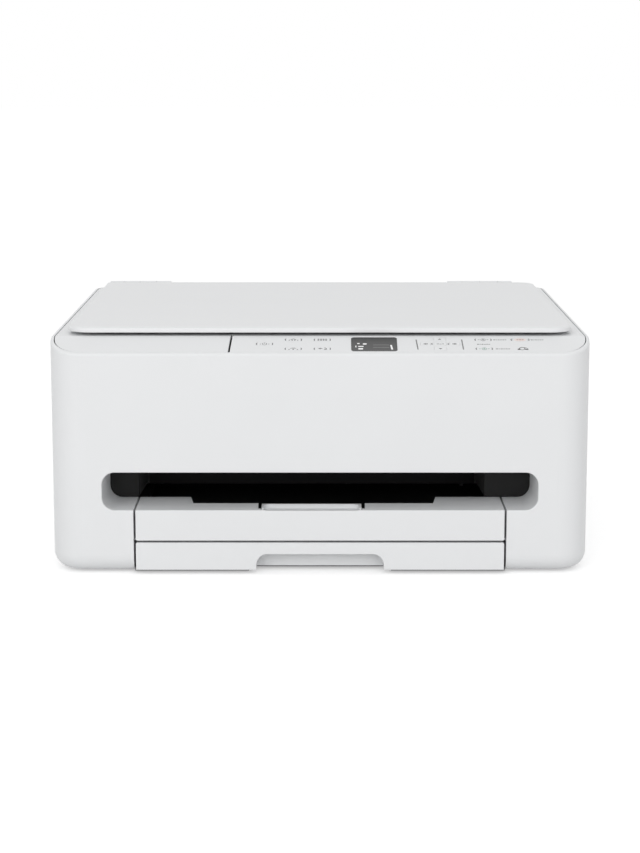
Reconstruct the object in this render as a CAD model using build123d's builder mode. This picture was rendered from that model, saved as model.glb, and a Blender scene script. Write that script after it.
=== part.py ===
from build123d import *
import math
import os

# Compact all-in-one inkjet: flatbed scanner on top, paper tray and cassette in front.
# Frame: origin at the bottom centre of the whole object, +X to its right side seen from
# the front, +Y to the rear, +Z up. Millimetres.

# Overall size
case_width = 378.0
case_depth = 345.0
foot_height = 1.5
rim_z = 165.9
front_top_z = 156.7
wall = 2.3

# Case outline
front_corner = 22.0
rear_corner = 17.5
bottom_round = 12.0
rim_round = 1.2
bend_round = 2.0
half_width = case_width / 2
front_y = -case_depth / 2
rear_y = case_depth / 2
ridge_y = front_y + 25.0

# Sloped strip in front of the lid
slope = math.atan2(rim_z - front_top_z, ridge_y - front_y)
panel_plane = Plane(
    origin=(0, ridge_y, rim_z),
    x_dir=(1, 0, 0),
    z_dir=(0, -math.sin(slope), math.cos(slope)),
)
strip_seam_x = (-63.5, -62.1)
strip_seam = 1.5
rim_gap = 0.25
side_gap = 0.8
strip_zone = (140.0, 180.0)
plate_thick = 2.5

# Front openings
slot_half = 152.8
slot_low = 46.1
slot_high = 72.9
slot_round = 9.0
slot_depth = 46.0
slot_draft = 1.7
bay_half = 131.0
drawer_half = 129.5
drawer_split = 23.5
drawer_gap = 1.5
drawer_round = 0.45
split_round = 1.2
drawer_low = 3.2
paper_x = -6.0
sheet_width = 210.0
sheet_length = 297.0
box_high = 21.5
box_back = 149.5
recess_half = 45.0
recess_top = 14.7
recess_depth = 14.0
box_floor = (4.6, 6.6)
deck_low = 36.0
deck_high = 38.5
deck_back = 30.0

# Lid and its rear hinge
lid_half = 178.4
lid_front = ridge_y
lid_rear = front_y + 325.0
lid_low = 168.25
lid_high = 172.0
hinge_y = 154.5
hinge_z = 168.3
barrel_r = 4.4
hinge_pin_r = 2.0
running_fit = 0.05
left_hump = (-176.0, -125.0)
right_hump = (107.0, 161.0)

# Scanner
glass_half_x = 153.0
glass_half_y = 112.0
glass_thick = 1.9
tub_low = 132.0
tub_front = -137.0
tub_rear = 118.0
tub_half = 178.0
plate_rear = 148.5

# Print mechanism
frame_half = 175.5
frame_plate = 2.5
paper_z = 68.5
rod_y = 30.0
rod_z = paper_z + 15.5
rod_r = 4.0
feed_y = 24.0
feed_z = paper_z - 5.0
exit_y = -58.0
exit_z = paper_z - 5.5
belt_y = 41.5
belt_z = paper_z + 27.5
belt_x = 160.0
frame_top = paper_z + 41.2
carriage_park = (103.0, 170.0)

# Keys on the strip: name, x of the centre, distance down the slope, width
key_height = 4.8
key_travel = 0.6
keys = [
    ("power_key", -38.7, 11.8, 10.4),
    ("function_key_1", -18.6, 5.6, 10.4),
    ("function_key_2", 1.6, 5.6, 10.4),
    ("function_key_3", -18.6, 19.0, 10.4),
    ("function_key_4", 1.6, 19.0, 10.4),
    ("up_key", 83.8, 4.6, 8.6),
    ("left_key", 73.6, 11.8, 7.0),
    ("ok_key", 83.8, 11.8, 8.6),
    ("right_key", 94.0, 11.8, 7.0),
    ("down_key", 83.8, 19.0, 8.6),
    ("start_key_1", 114.2, 5.6, 10.4),
    ("start_key_2", 114.2, 19.0, 10.4),
    ("stop_key", 140.1, 5.6, 10.4),
]

os.makedirs("parts", exist_ok=True)


def keep(piece, name):
    """Label a finished piece and write it."""
    piece.part.label = name
    export_step(piece.part, f"parts/{name}.step")


def block(x, y, z, mode=Mode.ADD):
    """A box between two values on each axis, in the part being built."""
    middle = ((x[0] + x[1]) / 2, (y[0] + y[1]) / 2, (z[0] + z[1]) / 2)
    with Locations(middle):
        Box(abs(x[1] - x[0]), abs(y[1] - y[0]), abs(z[1] - z[0]), mode=mode)


def rod_x(x, y, z, radius, mode=Mode.ADD):
    """A cylinder along X between two values of x."""
    with Locations(Location(((x[0] + x[1]) / 2, y, z), (0, 90, 0))):
        Cylinder(radius, x[1] - x[0], mode=mode)


def rod_y_axis(x, y, z, radius, mode=Mode.ADD):
    """A cylinder along Y between two values of y."""
    with Locations(Location((x, (y[0] + y[1]) / 2, z), (90, 0, 0))):
        Cylinder(radius, y[1] - y[0], mode=mode)


def side_profile(points, x, mode=Mode.ADD):
    """A closed outline of (y, z) points, run along X between two values."""
    with BuildSketch(Plane.YZ.offset(x[0])) as outline:
        with BuildLine():
            Polyline(*points, close=True)
        make_face()
    extrude(outline.sketch, amount=x[1] - x[0], mode=mode)


def case_outline(inset, z):
    """The case seen from above, drawn in by inset, at height z."""
    with BuildSketch(Plane.XY.offset(z)) as outline:
        Rectangle(case_width - 2 * inset, case_depth - 2 * inset)
        fillet(outline.vertices().group_by(Axis.Y)[0], front_corner - inset)
        fillet(outline.vertices().group_by(Axis.Y)[-1], rear_corner - inset)
    return outline.sketch


def slot_outline(y, grow, narrow=0.0):
    """The output slot on a plane at y, grown by a wall and narrowed at both ends."""
    with BuildSketch(Plane.XZ.offset(-y)) as outline:
        with Locations((0, (slot_low + slot_high) / 2)):
            RectangleRounded(
                2 * (slot_half + grow - narrow),
                slot_high - slot_low + 2 * grow,
                slot_round + grow,
            )
    return outline.sketch


def strip_z(y):
    """Height of the sloped strip's top surface at y."""
    return rim_z - (ridge_y - y) * math.tan(slope)


def seam_x(y):
    """Centre of the strip's seam at y: it slants from the front edge to the ridge."""
    lean = (strip_seam_x[1] - strip_seam_x[0]) / (ridge_y - front_y)
    return strip_seam_x[0] + (y - front_y) * lean


def plate_outline(z):
    """The strip and the scanner's plate from above, inside the rim of the shell."""
    with BuildSketch(Plane.XY.offset(z)) as outline:
        Rectangle(case_width - 2 * (wall + side_gap), case_depth - 2 * (wall + rim_gap))
        fillet(outline.vertices().group_by(Axis.Y)[0], front_corner - wall - rim_gap)
    return outline.sketch


def panel_bay(edge, rear):
    """The ground right of the seam, its left side moved by edge, as far back as rear."""
    with BuildSketch(Plane.XY.offset(strip_zone[0])) as bay:
        with BuildLine():
            Polyline(
                (seam_x(front_y) + edge, front_y),
                (half_width, front_y),
                (half_width, rear),
                (seam_x(rear) + edge, rear),
                close=True,
            )
        make_face()
    return bay.sketch


# Outer shell: one moulding with the four walls, the slot tunnel and the drawer bay
bottom_ring = 14.5
bay_wall = 2.3
bay_inset = 1.0
tunnel_back = front_y + slot_depth
rear_door = ((-110.0, 98.0), (30.0, 108.0))
inlet_opening = ((-165.4, -140.6), (21.6, 42.4))
usb_opening = ((152.6, 165.8), (39.6, 51.4))

with BuildPart() as shell_hollow:
    extrude(case_outline(wall, foot_height + wall), amount=rim_z)
    fillet(shell_hollow.faces().sort_by(Axis.Z)[0].edges(), bottom_round - wall)

with BuildPart() as bay_housing:
    extrude(
        case_outline(bay_inset, foot_height + bay_inset),
        amount=slot_low - foot_height - bay_inset,
    )
    fillet(bay_housing.faces().sort_by(Axis.Z)[0].edges(), bottom_round - bay_inset)
    block(
        (-bay_half - bay_wall, bay_half + bay_wall),
        (front_y, tunnel_back),
        (foot_height, slot_low + 1),
        Mode.INTERSECT,
    )

with BuildPart() as slot_hollow:
    loft(
        [
            slot_outline(front_y - 1, 0),
            slot_outline(tunnel_back + 1, 0, slot_draft),
        ]
    )

with BuildPart() as outer_shell:
    extrude(case_outline(0, foot_height), amount=rim_z - foot_height)
    side_profile(
        [
            (front_y - 5, strip_z(front_y - 5)),
            (ridge_y, rim_z),
            (ridge_y, rim_z + 5),
            (front_y - 5, rim_z + 5),
        ],
        (-half_width - 1, half_width + 1),
        Mode.SUBTRACT,
    )
    bend_edges = [
        edge
        for edge in outer_shell.edges()
        if edge.bounding_box().min.Z > front_top_z - 0.5
        and edge.bounding_box().min.Z < rim_z - 0.01
    ]
    fillet(bend_edges, bend_round)
    rim_edges = [
        edge
        for edge in outer_shell.edges()
        if edge.bounding_box().min.Z > rim_z - 0.01
        and edge.geom_type in (GeomType.LINE, GeomType.CIRCLE)
        and edge.center().Y > ridge_y + 0.1
    ]
    fillet(rim_edges, rim_round)
    fillet(outer_shell.faces().sort_by(Axis.Z)[0].edges(), bottom_round)
    add(shell_hollow.part, mode=Mode.SUBTRACT)
    block(
        (-half_width + bottom_ring, half_width - bottom_ring),
        (tunnel_back + 1, rear_y - bottom_ring),
        (0, foot_height + wall + 1),
        Mode.SUBTRACT,
    )
    extrude(slot_outline(front_y + 1, wall), amount=-(slot_depth - 1))
    add(bay_housing.part)
    add(slot_hollow.part, mode=Mode.SUBTRACT)
    block(
        (-bay_half, bay_half),
        (front_y - 1, tunnel_back + 1),
        (0, slot_low + 1),
        Mode.SUBTRACT,
    )
    for side in (-1, 1):
        block(
            (side * (bay_half - 4), side * (bay_half + 1)),
            (front_y + 8, tunnel_back),
            (drawer_split - 0.4, drawer_split + drawer_gap / 2),
        )
    block(rear_door[0], (rear_y - wall - 1, rear_y + 1), rear_door[1], Mode.SUBTRACT)
    block(inlet_opening[0], (rear_y - wall - 1, rear_y + 1), inlet_opening[1], Mode.SUBTRACT)
    block(usb_opening[0], (rear_y - wall - 1, rear_y + 1), usb_opening[1], Mode.SUBTRACT)
    fillet(
        [
            edge
            for edge in outer_shell.edges()
            if abs(edge.bounding_box().min.Y - front_y) < 0.01
            and abs(edge.bounding_box().max.Y - front_y) < 0.01
            and edge.center().Z > slot_low - 1
            and edge.center().Z < slot_high + 1
            and abs(edge.center().X) < slot_half + 1
        ],
        0.8,
    )
keep(outer_shell, "outer_shell")


# Base pan: closes the underside and carries the cassette's rails
pan_top = 4.0
flange_top = pan_top + 2.0
flange_inset = 9.6
flange_corner = 12.0
rail_x = (131.2, 134.0)
rail_top = 22.0
runner_x = (116.0, 122.0)
ledge_x = 119.5

with BuildPart() as base_pan:
    pan_half = half_width - bottom_ring - 0.4
    block((-pan_half, pan_half), (tunnel_back + 1.4, rear_y - bottom_ring - 0.4), (foot_height, pan_top))
    block((-bay_half + 0.4, bay_half - 0.4), (front_y + 5.2, tunnel_back + 1.4), (foot_height, pan_top))
    block(
        (-recess_half - 5, recess_half + 5),
        (front_y, front_y + recess_depth + 4),
        (0, pan_top + 1),
        Mode.SUBTRACT,
    )
    for side in (-1, 1):
        block(
            (side * 136.0, side * (half_width - wall - flange_inset)),
            (tunnel_back + 1.4, rear_y - wall - flange_corner),
            (foot_height + wall + 0.05, flange_top),
        )
        block((side * rail_x[0], side * rail_x[1]), (tunnel_back + 1.4, 150.0), (pan_top, rail_top))
        block((side * runner_x[0], side * runner_x[1]), (front_y + 8, 148.0), (pan_top, box_floor[0]))
        block((side * rail_x[0], side * rail_x[1]), (tunnel_back + 1.4, deck_back), (pan_top, deck_low))
        block((side * ledge_x, side * rail_x[1]), (tunnel_back + 1.4, deck_back), (deck_low - 1.6, deck_low))
    block(
        (-136.0, 136.0),
        (150.0, rear_y - wall - flange_inset),
        (foot_height + wall + 0.05, flange_top),
    )
keep(base_pan, "base_pan")


# Rubber feet: four discs under the shell and the pan
with BuildPart() as rubber_feet:
    for x in (-150.0, 150.0):
        with Locations((x, front_y + 27.5, foot_height / 2), (x, rear_y - 30.0, foot_height / 2)):
            Cylinder(8.0, foot_height)
    fillet(rubber_feet.faces().group_by(Axis.Z)[0].edges(), 0.4)
keep(rubber_feet, "rubber_feet")


# Slot liner: the black end plates behind the slot and the throat to the print zone
throat_half = 124.5
cheek = 2.0
cheek_lean = 2.5
throat_x = (paper_x - throat_half, paper_x + throat_half)
throat_back = exit_y - 10.0
liner_y = tunnel_back
deck_clear = 44.5

with BuildPart() as slot_liner:
    block((-slot_half - 3, slot_half + 3), (liner_y, liner_y + 2), (slot_low + 0.4, slot_high + 3))
    block((throat_x[0], throat_x[1]), (liner_y - 1, liner_y + 3), (slot_low - 1, slot_high - 1.9), Mode.SUBTRACT)
    for side in (-1, 1):
        with BuildSketch(Plane.XY.offset(slot_low + 0.4)):
            with BuildLine():
                Polyline(
                    (paper_x + side * throat_half, liner_y),
                    (paper_x + side * (throat_half + cheek), liner_y),
                    (paper_x + side * (throat_half + cheek), throat_back),
                    (paper_x + side * (throat_half - cheek_lean), throat_back),
                    close=True,
                )
            make_face()
        extrude(amount=slot_high + 2.6 - slot_low)
    block((throat_x[0], throat_x[1]), (liner_y, throat_back), (slot_high + 1, slot_high + 3))
    block((throat_x[0], throat_x[1]), (throat_back - 2, throat_back), (deck_clear, paper_z - 9))
    for step in range(8):
        x = throat_x[0] + 16 + step * 30.5
        block((x, x + 2), (liner_y + 4, throat_back), (slot_high - 2, slot_high + 1))
keep(slot_liner, "slot_liner")


# Inner deck: the dark floor seen when the scanner is lifted, open over the carriage
deck_z = (121.0, 123.0)
deck_open_y = (-58.0, 50.0)
deck_half = half_width - wall - 0.5

with BuildPart() as inner_deck:
    extrude(case_outline(wall + 0.5, deck_z[0]), amount=deck_z[1] - deck_z[0])
    block((-deck_half - 1, deck_half + 1), (135.0, rear_y), (deck_z[0] - 1, deck_z[1] + 1), Mode.SUBTRACT)
    block((-172.0, 172.0), deck_open_y, (deck_z[0] - 1, deck_z[1] + 1), Mode.SUBTRACT)
    block((-deck_half - 1, -179.0), (-105.0, -5.0), (deck_z[0] - 1, deck_z[1] + 1), Mode.SUBTRACT)
    for x in (-174.0, 172.0):
        block((x, x + 2), deck_open_y, (frame_top, deck_z[0]))
    for y in (deck_open_y[0] - 2, deck_open_y[1]):
        block((-174.0, 174.0), (y, y + 2), (deck_z[0] - 3, deck_z[0]))
    for x in (-150.0, -75.0, 0.0, 75.0, 150.0):
        block((x - 1, x + 1), (-150.0, deck_open_y[0] - 4), (deck_z[0] - 8, deck_z[0]))
    for x in (-150.0, 150.0):
        block((x - 5, x + 5), (-122.0, -112.0), (deck_z[0], tub_low))
keep(inner_deck, "inner_deck")


# Print frame: steel side plates, rear beam, guide rod and lower crossbar
bracket_x = 104.5
beam_y = 44.5
arm_pivot_y = 62.0
arm_pivot_z = 50.0
arm_ears = (-22.0, 8.0)

with BuildPart() as print_frame:
    for x in (-frame_half, frame_half - frame_plate):
        block((x, x + frame_plate), (-72.0, beam_y + 2.5), (flange_top, frame_top))
    block((-frame_half, frame_half), (beam_y, beam_y + 2.5), (paper_z - 16, frame_top))
    block((-116.0, bracket_x), (beam_y - 1, beam_y + 3), (paper_z - 6, paper_z + 8), Mode.SUBTRACT)
    block((-frame_half, frame_half), (38.0, beam_y + 2.5), (frame_top - 2.5, frame_top))
    block((-frame_half, frame_half), (36.0, 42.0), (paper_z - 26, paper_z - 22))
    block((bracket_x, bracket_x + frame_plate), (-68.0, 42.0), (paper_z - 26, paper_z + 1.5))
    rod_x((-frame_half, frame_half), rod_y, rod_z, rod_r)
    for x in arm_ears:
        block((x, x + 2), (beam_y, arm_pivot_y + 5), (arm_pivot_z - 6, arm_pivot_z + 11))
    for y, z, radius in ((feed_y, feed_z, 4.0), (exit_y, exit_z, 3.0)):
        rod_x((-frame_half - 1, -frame_half + 3), y, z, radius + running_fit, Mode.SUBTRACT)
        rod_x((bracket_x - 1, bracket_x + 3), y, z, radius + running_fit, Mode.SUBTRACT)
    for x in (-belt_x, belt_x):
        rod_y_axis(x, (beam_y - 1, beam_y + 3), belt_z, 2.0 + running_fit, Mode.SUBTRACT)
    rod_x((arm_ears[0] - 1, arm_ears[1] + 3), arm_pivot_y, arm_pivot_z, 2.0 + running_fit, Mode.SUBTRACT)
keep(print_frame, "print_frame")


# Print platen: ribbed plate under the paper
platen_top = paper_z - 0.5

with BuildPart() as print_platen:
    block((-118.0, 100.0), (-48.0, 16.0), (platen_top - 12, platen_top - 2.5))
    block((-115.0, 97.0), (-45.0, 13.0), (platen_top - 13, platen_top - 4.5), Mode.SUBTRACT)
    for step in range(22):
        x = -113.0 + step * 10.0
        block((x, x + 1.2), (-46.0, 14.0), (platen_top - 2.5, platen_top))
    block((-frame_half + frame_plate, -118.0), (-30.0, -20.0), (platen_top - 12, platen_top - 9))
    block((100.0, bracket_x), (-30.0, -20.0), (platen_top - 12, platen_top - 9))
keep(print_platen, "print_platen")


# Drive motors: carriage motor behind the beam, feed motor low on the left
feed_motor_y = 5.0
feed_motor_z = 42.0
motor_r = 12.0

with BuildPart() as drive_motors:
    rod_y_axis(belt_x - 0.5, (beam_y + 2.5, beam_y + 34), belt_z, motor_r)
    rod_y_axis(belt_x, (beam_y + 2.0, beam_y + 5), belt_z, 2.9, Mode.SUBTRACT)
    rod_x((-167.5, -138.0), feed_motor_y, feed_motor_z, motor_r)
    rod_x((-frame_half + frame_plate, -167.5), feed_motor_y, feed_motor_z, 5.0)
keep(drive_motors, "drive_motors")


# Maintenance station: caps and wiper under the parked carriage
station_top = paper_z + 1.5

with BuildPart() as maintenance_station:
    block((110.0, 168.0), (-40.0, 18.0), (station_top - 26, station_top - 6))
    block((113.0, 165.0), (-37.0, 15.0), (station_top - 18, station_top - 5), Mode.SUBTRACT)
    for x in (120.5, 152.5):
        block((x - 11, x + 11), (-28.0, 2.0), (station_top - 18, station_top - 0.5))
        block((x - 9, x + 9), (-26.0, 0.0), (station_top - 4, station_top), Mode.SUBTRACT)
    block((113.0, 165.0), (6.0, 8.0), (station_top - 18, station_top + 0.2))
    block((168.0, frame_half - frame_plate), (-20.0, 0.0), (station_top - 24, station_top - 18))
keep(maintenance_station, "maintenance_station")


def belt_loop(first, second, inner_r, thick, start, width, plane):
    """A closed belt round two wheels whose centres are given on a plane."""
    with BuildSketch(plane.offset(start)) as outline:
        middle = ((first[0] + second[0]) / 2, (first[1] + second[1]) / 2)
        span = math.dist(first, second)
        turn = math.degrees(math.atan2(second[1] - first[1], second[0] - first[0]))
        with Locations(Location(middle, turn)):
            SlotCenterToCenter(span, 2 * (inner_r + thick))
            SlotCenterToCenter(span, 2 * inner_r, mode=Mode.SUBTRACT)
    extrude(outline.sketch, amount=width)


# Carriage belt: toothed belt round the two pulleys in front of the beam
pulley_r = 6.0
belt_gap = 0.3
belt_thick = 1.1

with BuildPart() as carriage_belt:
    belt_loop(
        (-belt_x, belt_z), (belt_x, belt_z), pulley_r + belt_gap, belt_thick, -belt_y - 1.5, 3.0, Plane.XZ
    )
keep(carriage_belt, "carriage_belt")


# Feed belt: carries the feed roller's turn to the exit roller
feed_pulley_r = 9.0
feed_pulley_x = (-172.4, -168.4)

with BuildPart() as feed_belt:
    belt_loop(
        (exit_y, exit_z),
        (feed_y, feed_z),
        feed_pulley_r + belt_gap,
        belt_thick,
        feed_pulley_x[0] + 0.5,
        3.0,
        Plane.YZ,
    )
keep(feed_belt, "feed_belt")


# Main board: circuit board with the socket block at the rear wall
with BuildPart() as main_board:
    block((165.6, 167.2), (86.0, 164.0), (28.0, 112.0))
    for y in (92.0, 146.0):
        block((164.0, 168.8), (y, y + 5), (flange_top, 32.0))
    block((153.0, 165.6), (152.0, rear_y - 0.2), (40.0, 51.0))
    block((154.2, 163.8), (rear_y - 12.0, rear_y), (41.2, 49.8), Mode.SUBTRACT)
    block((156.2, 161.8), (rear_y - 12.0, rear_y - 3.0), (43.6, 47.4))
    for y, z, size in ((98.0, 92.0, 14.0), (112.0, 60.0, 22.0), (140.0, 92.0, 12.0)):
        block((162.6, 165.6), (y - size / 2, y + size / 2), (z - size / 2, z + size / 2))
keep(main_board, "main_board")


# Power unit: supply box with the two-pin inlet at the rear wall
with BuildPart() as power_unit:
    block((-172.0, -136.5), (96.0, 166.5), (flange_top, 60.0))
    block((-165.0, -141.0), (166.0, rear_y - 0.2), (22.0, 42.0))
    with BuildSketch(Plane.XZ.offset(-rear_y)) as inlet_mouth:
        with Locations((-153.0, 32.0)):
            SlotOverall(17.0, 8.6)
    extrude(inlet_mouth.sketch, amount=14.0, mode=Mode.SUBTRACT)
    for x in (-157.2, -148.8):
        rod_y_axis(x, (rear_y - 15, rear_y - 3.5), 32.0, 1.2)
keep(power_unit, "power_unit")


# Rear cover: clipped in the rear wall, its ribs turn the sheets up from the cassette
turn_low = 34.0
turn_high = paper_z - 1.0

with BuildPart() as rear_cover:
    low_x, high_x = rear_door[0]
    low_z, high_z = rear_door[1]
    block((low_x + 0.4, high_x - 0.4), (rear_y - wall, rear_y), (low_z + 0.4, high_z - 0.4))
    for step in range(9):
        z = low_z + 12 + step * 7.0
        block((low_x + 14, high_x - 14), (rear_y - 0.9, rear_y + 1), (z, z + 2.2), Mode.SUBTRACT)
    for x in (low_x + 20, high_x - 30):
        block((x, x + 10), (rear_y - wall - 2, rear_y - wall), (high_z - 6, high_z + 3))
    block((low_x + 8, high_x - 8), (rear_y - wall - 2, rear_y - wall), (low_z - 3, low_z + 6))
    for step in range(8):
        with BuildSketch(Plane.YZ.offset(low_x + 16 + step * 25.0)) as rib:
            with BuildLine():
                Line((rear_y - wall, turn_low), (rear_y - 20, turn_low))
                ThreePointArc(
                    (rear_y - 20, turn_low),
                    (rear_y - 6, (turn_low + turn_high) / 2),
                    (rear_y - 20, turn_high),
                )
                Line((rear_y - 20, turn_high), (rear_y - wall, turn_high))
                Line((rear_y - wall, turn_high), (rear_y - wall, turn_low))
            make_face()
        extrude(rib.sketch, amount=2.0)
keep(rear_cover, "rear_cover")


# Rear paper chute: leaning slot from the top, joined to the turn from the cassette
lean = math.radians(20.0)
chute_top = 160.0
chute_y = 163.6
chute_x = (-120.0, 108.0)
sheet_gap = 9.0
cover_z = (163.4, rim_z)


def lean_y(y_at_top, z):
    """Y of a leaning face at height z, given its y at the chute's top."""
    return y_at_top - (chute_top - z) * math.tan(lean)


turn_z = 92.0
feed_in = 56.0
back_y = chute_y + 3.0
turn_y = lean_y(back_y, turn_z)
front_face = chute_y - sheet_gap
bend_z = paper_z + 19.5
bend_y = lean_y(front_face, bend_z)

with BuildPart() as rear_chute:
    side_profile(
        [
            (back_y, chute_top),
            (turn_y, turn_z),
            (turn_y, paper_z + 5),
            (turn_y + 2, paper_z + 5),
            (turn_y + 2, turn_z - 0.4),
            (back_y + 2.1, chute_top),
        ],
        (chute_x[0] + 2, chute_x[1] - 2),
    )
    side_profile(
        [
            (front_face, chute_top),
            (bend_y, bend_z),
            (bend_y - 24, paper_z + 5.5),
            (feed_in, paper_z + 4),
            (feed_in, paper_z + 6),
            (bend_y - 25, paper_z + 7.5),
            (bend_y - 2.4, bend_z + 1.2),
            (front_face - 2.1, chute_top),
        ],
        (chute_x[0] + 2, chute_x[1] - 2),
    )
    for x in (chute_x[0], chute_x[1] - 2):
        side_profile(
            [
                (back_y + 2.1, chute_top),
                (turn_y + 2, turn_z - 0.4),
                (turn_y + 2, box_high + 2.5),
                (turn_y - 2, box_high + 2.5),
                (turn_y - 16, paper_z - 6),
                (feed_in, paper_z - 1),
                (feed_in, paper_z + 6),
                (bend_y - 25, paper_z + 7.5),
                (bend_y - 2.4, bend_z + 1.2),
                (front_face - 2.1, chute_top),
            ],
            (x, x + 2),
        )
        block((x, x + 2), (lean_y(back_y, 112.0), rear_y - wall), (112.0, 118.0))
    for x in (-114.0, 90.0):
        block((x, x + 8), (back_y, back_y + 2.1), (chute_top - 2, cover_z[0]))
keep(rear_chute, "rear_chute")


# Rear top cover: fixed strip behind the lid, with the paper slot and the hinge towers
cover_front = plate_rear + 0.7
cap_x = (-118.0, 101.0)
cap_y = (157.6, 168.9)
tower_width = 12.0
knuckle_gap = 0.3
notch_y = hinge_y + barrel_r + 0.7


def barrel(x, bore=True):
    """A hinge knuckle round the rear axis between two values of x."""
    rod_x(x, hinge_y, hinge_z, barrel_r)
    if bore:
        rod_x((x[0] - 1, x[1] + 1), hinge_y, hinge_z, hinge_pin_r + running_fit, Mode.SUBTRACT)


with BuildPart() as rear_top_cover:
    extrude(case_outline(wall + side_gap, cover_z[0]), amount=cover_z[1] - cover_z[0])
    block((-half_width, half_width), (front_y - 1, cover_front), (cover_z[0] - 1, cover_z[1] + 1), Mode.SUBTRACT)
    block(
        (cap_x[0] - 1, cap_x[1] + 1),
        (cap_y[0] - 0.6, rear_y),
        (cover_z[0] - 1, cover_z[1] + 1),
        Mode.SUBTRACT,
    )
    for hump in (left_hump, right_hump):
        block(
            (hump[0] - 0.6, hump[1] + 0.6),
            (cover_front - 1, notch_y),
            (cover_z[0] - 1, cover_z[1] + 1),
            Mode.SUBTRACT,
        )
        for x in (hump[0], hump[1] - tower_width):
            rod_x((x, x + tower_width), hinge_y, hinge_z, barrel_r)
            block((x, x + tower_width), (hinge_y, notch_y + 2.4), (cover_z[0], hinge_z + 0.8))
        rod_x((hump[0] + 1, hump[1] - 1), hinge_y, hinge_z, hinge_pin_r)
    for x in (-160.0, -136.0, 126.0, 150.0):
        block((x, x + 10), (rear_y - wall - 3, rear_y - wall), (cover_z[0] - 6, cover_z[0]))
keep(rear_top_cover, "rear_top_cover")


# Scanner top plate: flat frame round the glass, with the blank left end of the strip
scanner_knuckles = ((-163.7, -151.0), (134.0, 148.7))
lid_knuckles = ((-150.7, -137.3), (119.3, 133.7))
panel_rear = ridge_y + 7.3

with BuildPart() as scanner_top_plate:
    plate_front = front_y + wall + rim_gap
    side_profile(
        [
            (plate_rear, rim_z),
            (ridge_y, rim_z),
            (plate_front - 1, strip_z(plate_front - 1)),
            (plate_front - 1, strip_z(plate_front - 1) - plate_thick),
            (ridge_y, rim_z - plate_thick),
            (plate_rear, rim_z - plate_thick),
        ],
        (-half_width, half_width),
    )
    extrude(
        plate_outline(strip_zone[0]), amount=strip_zone[1] - strip_zone[0], mode=Mode.INTERSECT
    )
    extrude(
        panel_bay(-strip_seam / 2, panel_rear + 0.6),
        amount=strip_zone[1] - strip_zone[0],
        mode=Mode.SUBTRACT,
    )
    block(
        (-glass_half_x - 0.2, glass_half_x + 0.2),
        (-glass_half_y - 0.2, glass_half_y + 0.2),
        strip_zone,
        Mode.SUBTRACT,
    )
    for x in scanner_knuckles:
        block(x, (plate_rear - 6, hinge_y), (rim_z - plate_thick + 0.6, rim_z))
        barrel(x)
    for x in lid_knuckles:
        block((x[0] - 0.3, x[1] + 0.3), (hinge_y - barrel_r - 0.4, hinge_y), strip_zone, Mode.SUBTRACT)
keep(scanner_top_plate, "scanner_top_plate")


# Platen glass
with BuildPart() as platen_glass:
    block(
        (-glass_half_x, glass_half_x),
        (-glass_half_y, glass_half_y),
        (rim_z - plate_thick, rim_z - plate_thick + glass_thick),
    )
keep(platen_glass, "platen_glass")


# Scanner tub: open box under the plate, with the shelf that carries the control panel
tub_high = rim_z - plate_thick
tub_wall = 2.0
panel_depth = 6.8
glass_ledge = 3.0
scan_rod_z = 140.0


def panel_under(y):
    """Height of the control panel's flat underside at y."""
    return strip_z(y) - panel_depth / math.cos(slope)


with BuildPart() as scanner_tub:
    block((-tub_half, tub_half), (tub_front, tub_rear), (tub_low, tub_high))
    block(
        (-tub_half + tub_wall, tub_half - tub_wall),
        (tub_front + tub_wall, tub_rear - tub_wall),
        (tub_low + tub_wall, tub_high - tub_wall),
        Mode.SUBTRACT,
    )
    block(
        (-glass_half_x + glass_ledge, glass_half_x - glass_ledge),
        (-glass_half_y + glass_ledge, glass_half_y - glass_ledge),
        (tub_high - tub_wall - 1, tub_high + 1),
        Mode.SUBTRACT,
    )
    side_profile(
        [
            (tub_front, panel_under(tub_front) - 14),
            (tub_front, panel_under(tub_front) - 0.02),
            (front_y + 10, panel_under(front_y + 10) - 0.02),
            (front_y + 10, panel_under(front_y + 10) - 2.0),
        ],
        (strip_seam_x[1] + 3, half_width - 26),
    )
    side_profile(
        [
            (tub_front, 150.0),
            (tub_front, tub_high),
            (ridge_y, tub_high),
            (front_y + 10, strip_z(front_y + 10) - plate_thick - 0.05),
            (front_y + 10, strip_z(front_y + 10) - plate_thick - 2.0),
        ],
        (-half_width + 26, strip_seam_x[0] - 3),
    )
    block((-tub_half + 10, tub_half - 10), (tub_rear - 1, plate_rear - 2), (tub_high - 2, tub_high))
keep(scanner_tub, "scanner_tub")


# Scan rail: the rod that the scan head slides on
scan_rod_r = 3.0
with BuildPart() as scan_rail:
    rod_x((-tub_half + tub_wall, tub_half - tub_wall), 0.0, scan_rod_z, scan_rod_r)
keep(scan_rail, "scan_rail")


# Scan head: the lit bar under the glass
with BuildPart() as scan_head:
    block((-168.0, -148.0), (-110.0, 110.0), (145.0, 158.0))
    block((-162.0, -154.0), (-108.0, 108.0), (154.0, 159.0), Mode.SUBTRACT)
    block((-166.0, -150.0), (-9.0, 9.0), (135.0, 146.0))
    rod_x((-170.0, -146.0), 0.0, scan_rod_z, scan_rod_r + running_fit, Mode.SUBTRACT)
    block((-161.5, -154.5), (-108.0, 108.0), (154.0, 155.5))
keep(scan_head, "scan_head")


# Support stay: curved arm, its arc centred on the rear axis, that holds the scanner up
stay_r = 240.0
stay_x = (-184.2, -181.4)
stay_from = 7.0
stay_to = 37.0


def stay_point(radius, degrees):
    """A point of the stay's arc, an angle below the level of the hinge."""
    angle = math.radians(degrees)
    return (hinge_y - radius * math.cos(angle), hinge_z - radius * math.sin(angle))


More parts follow.
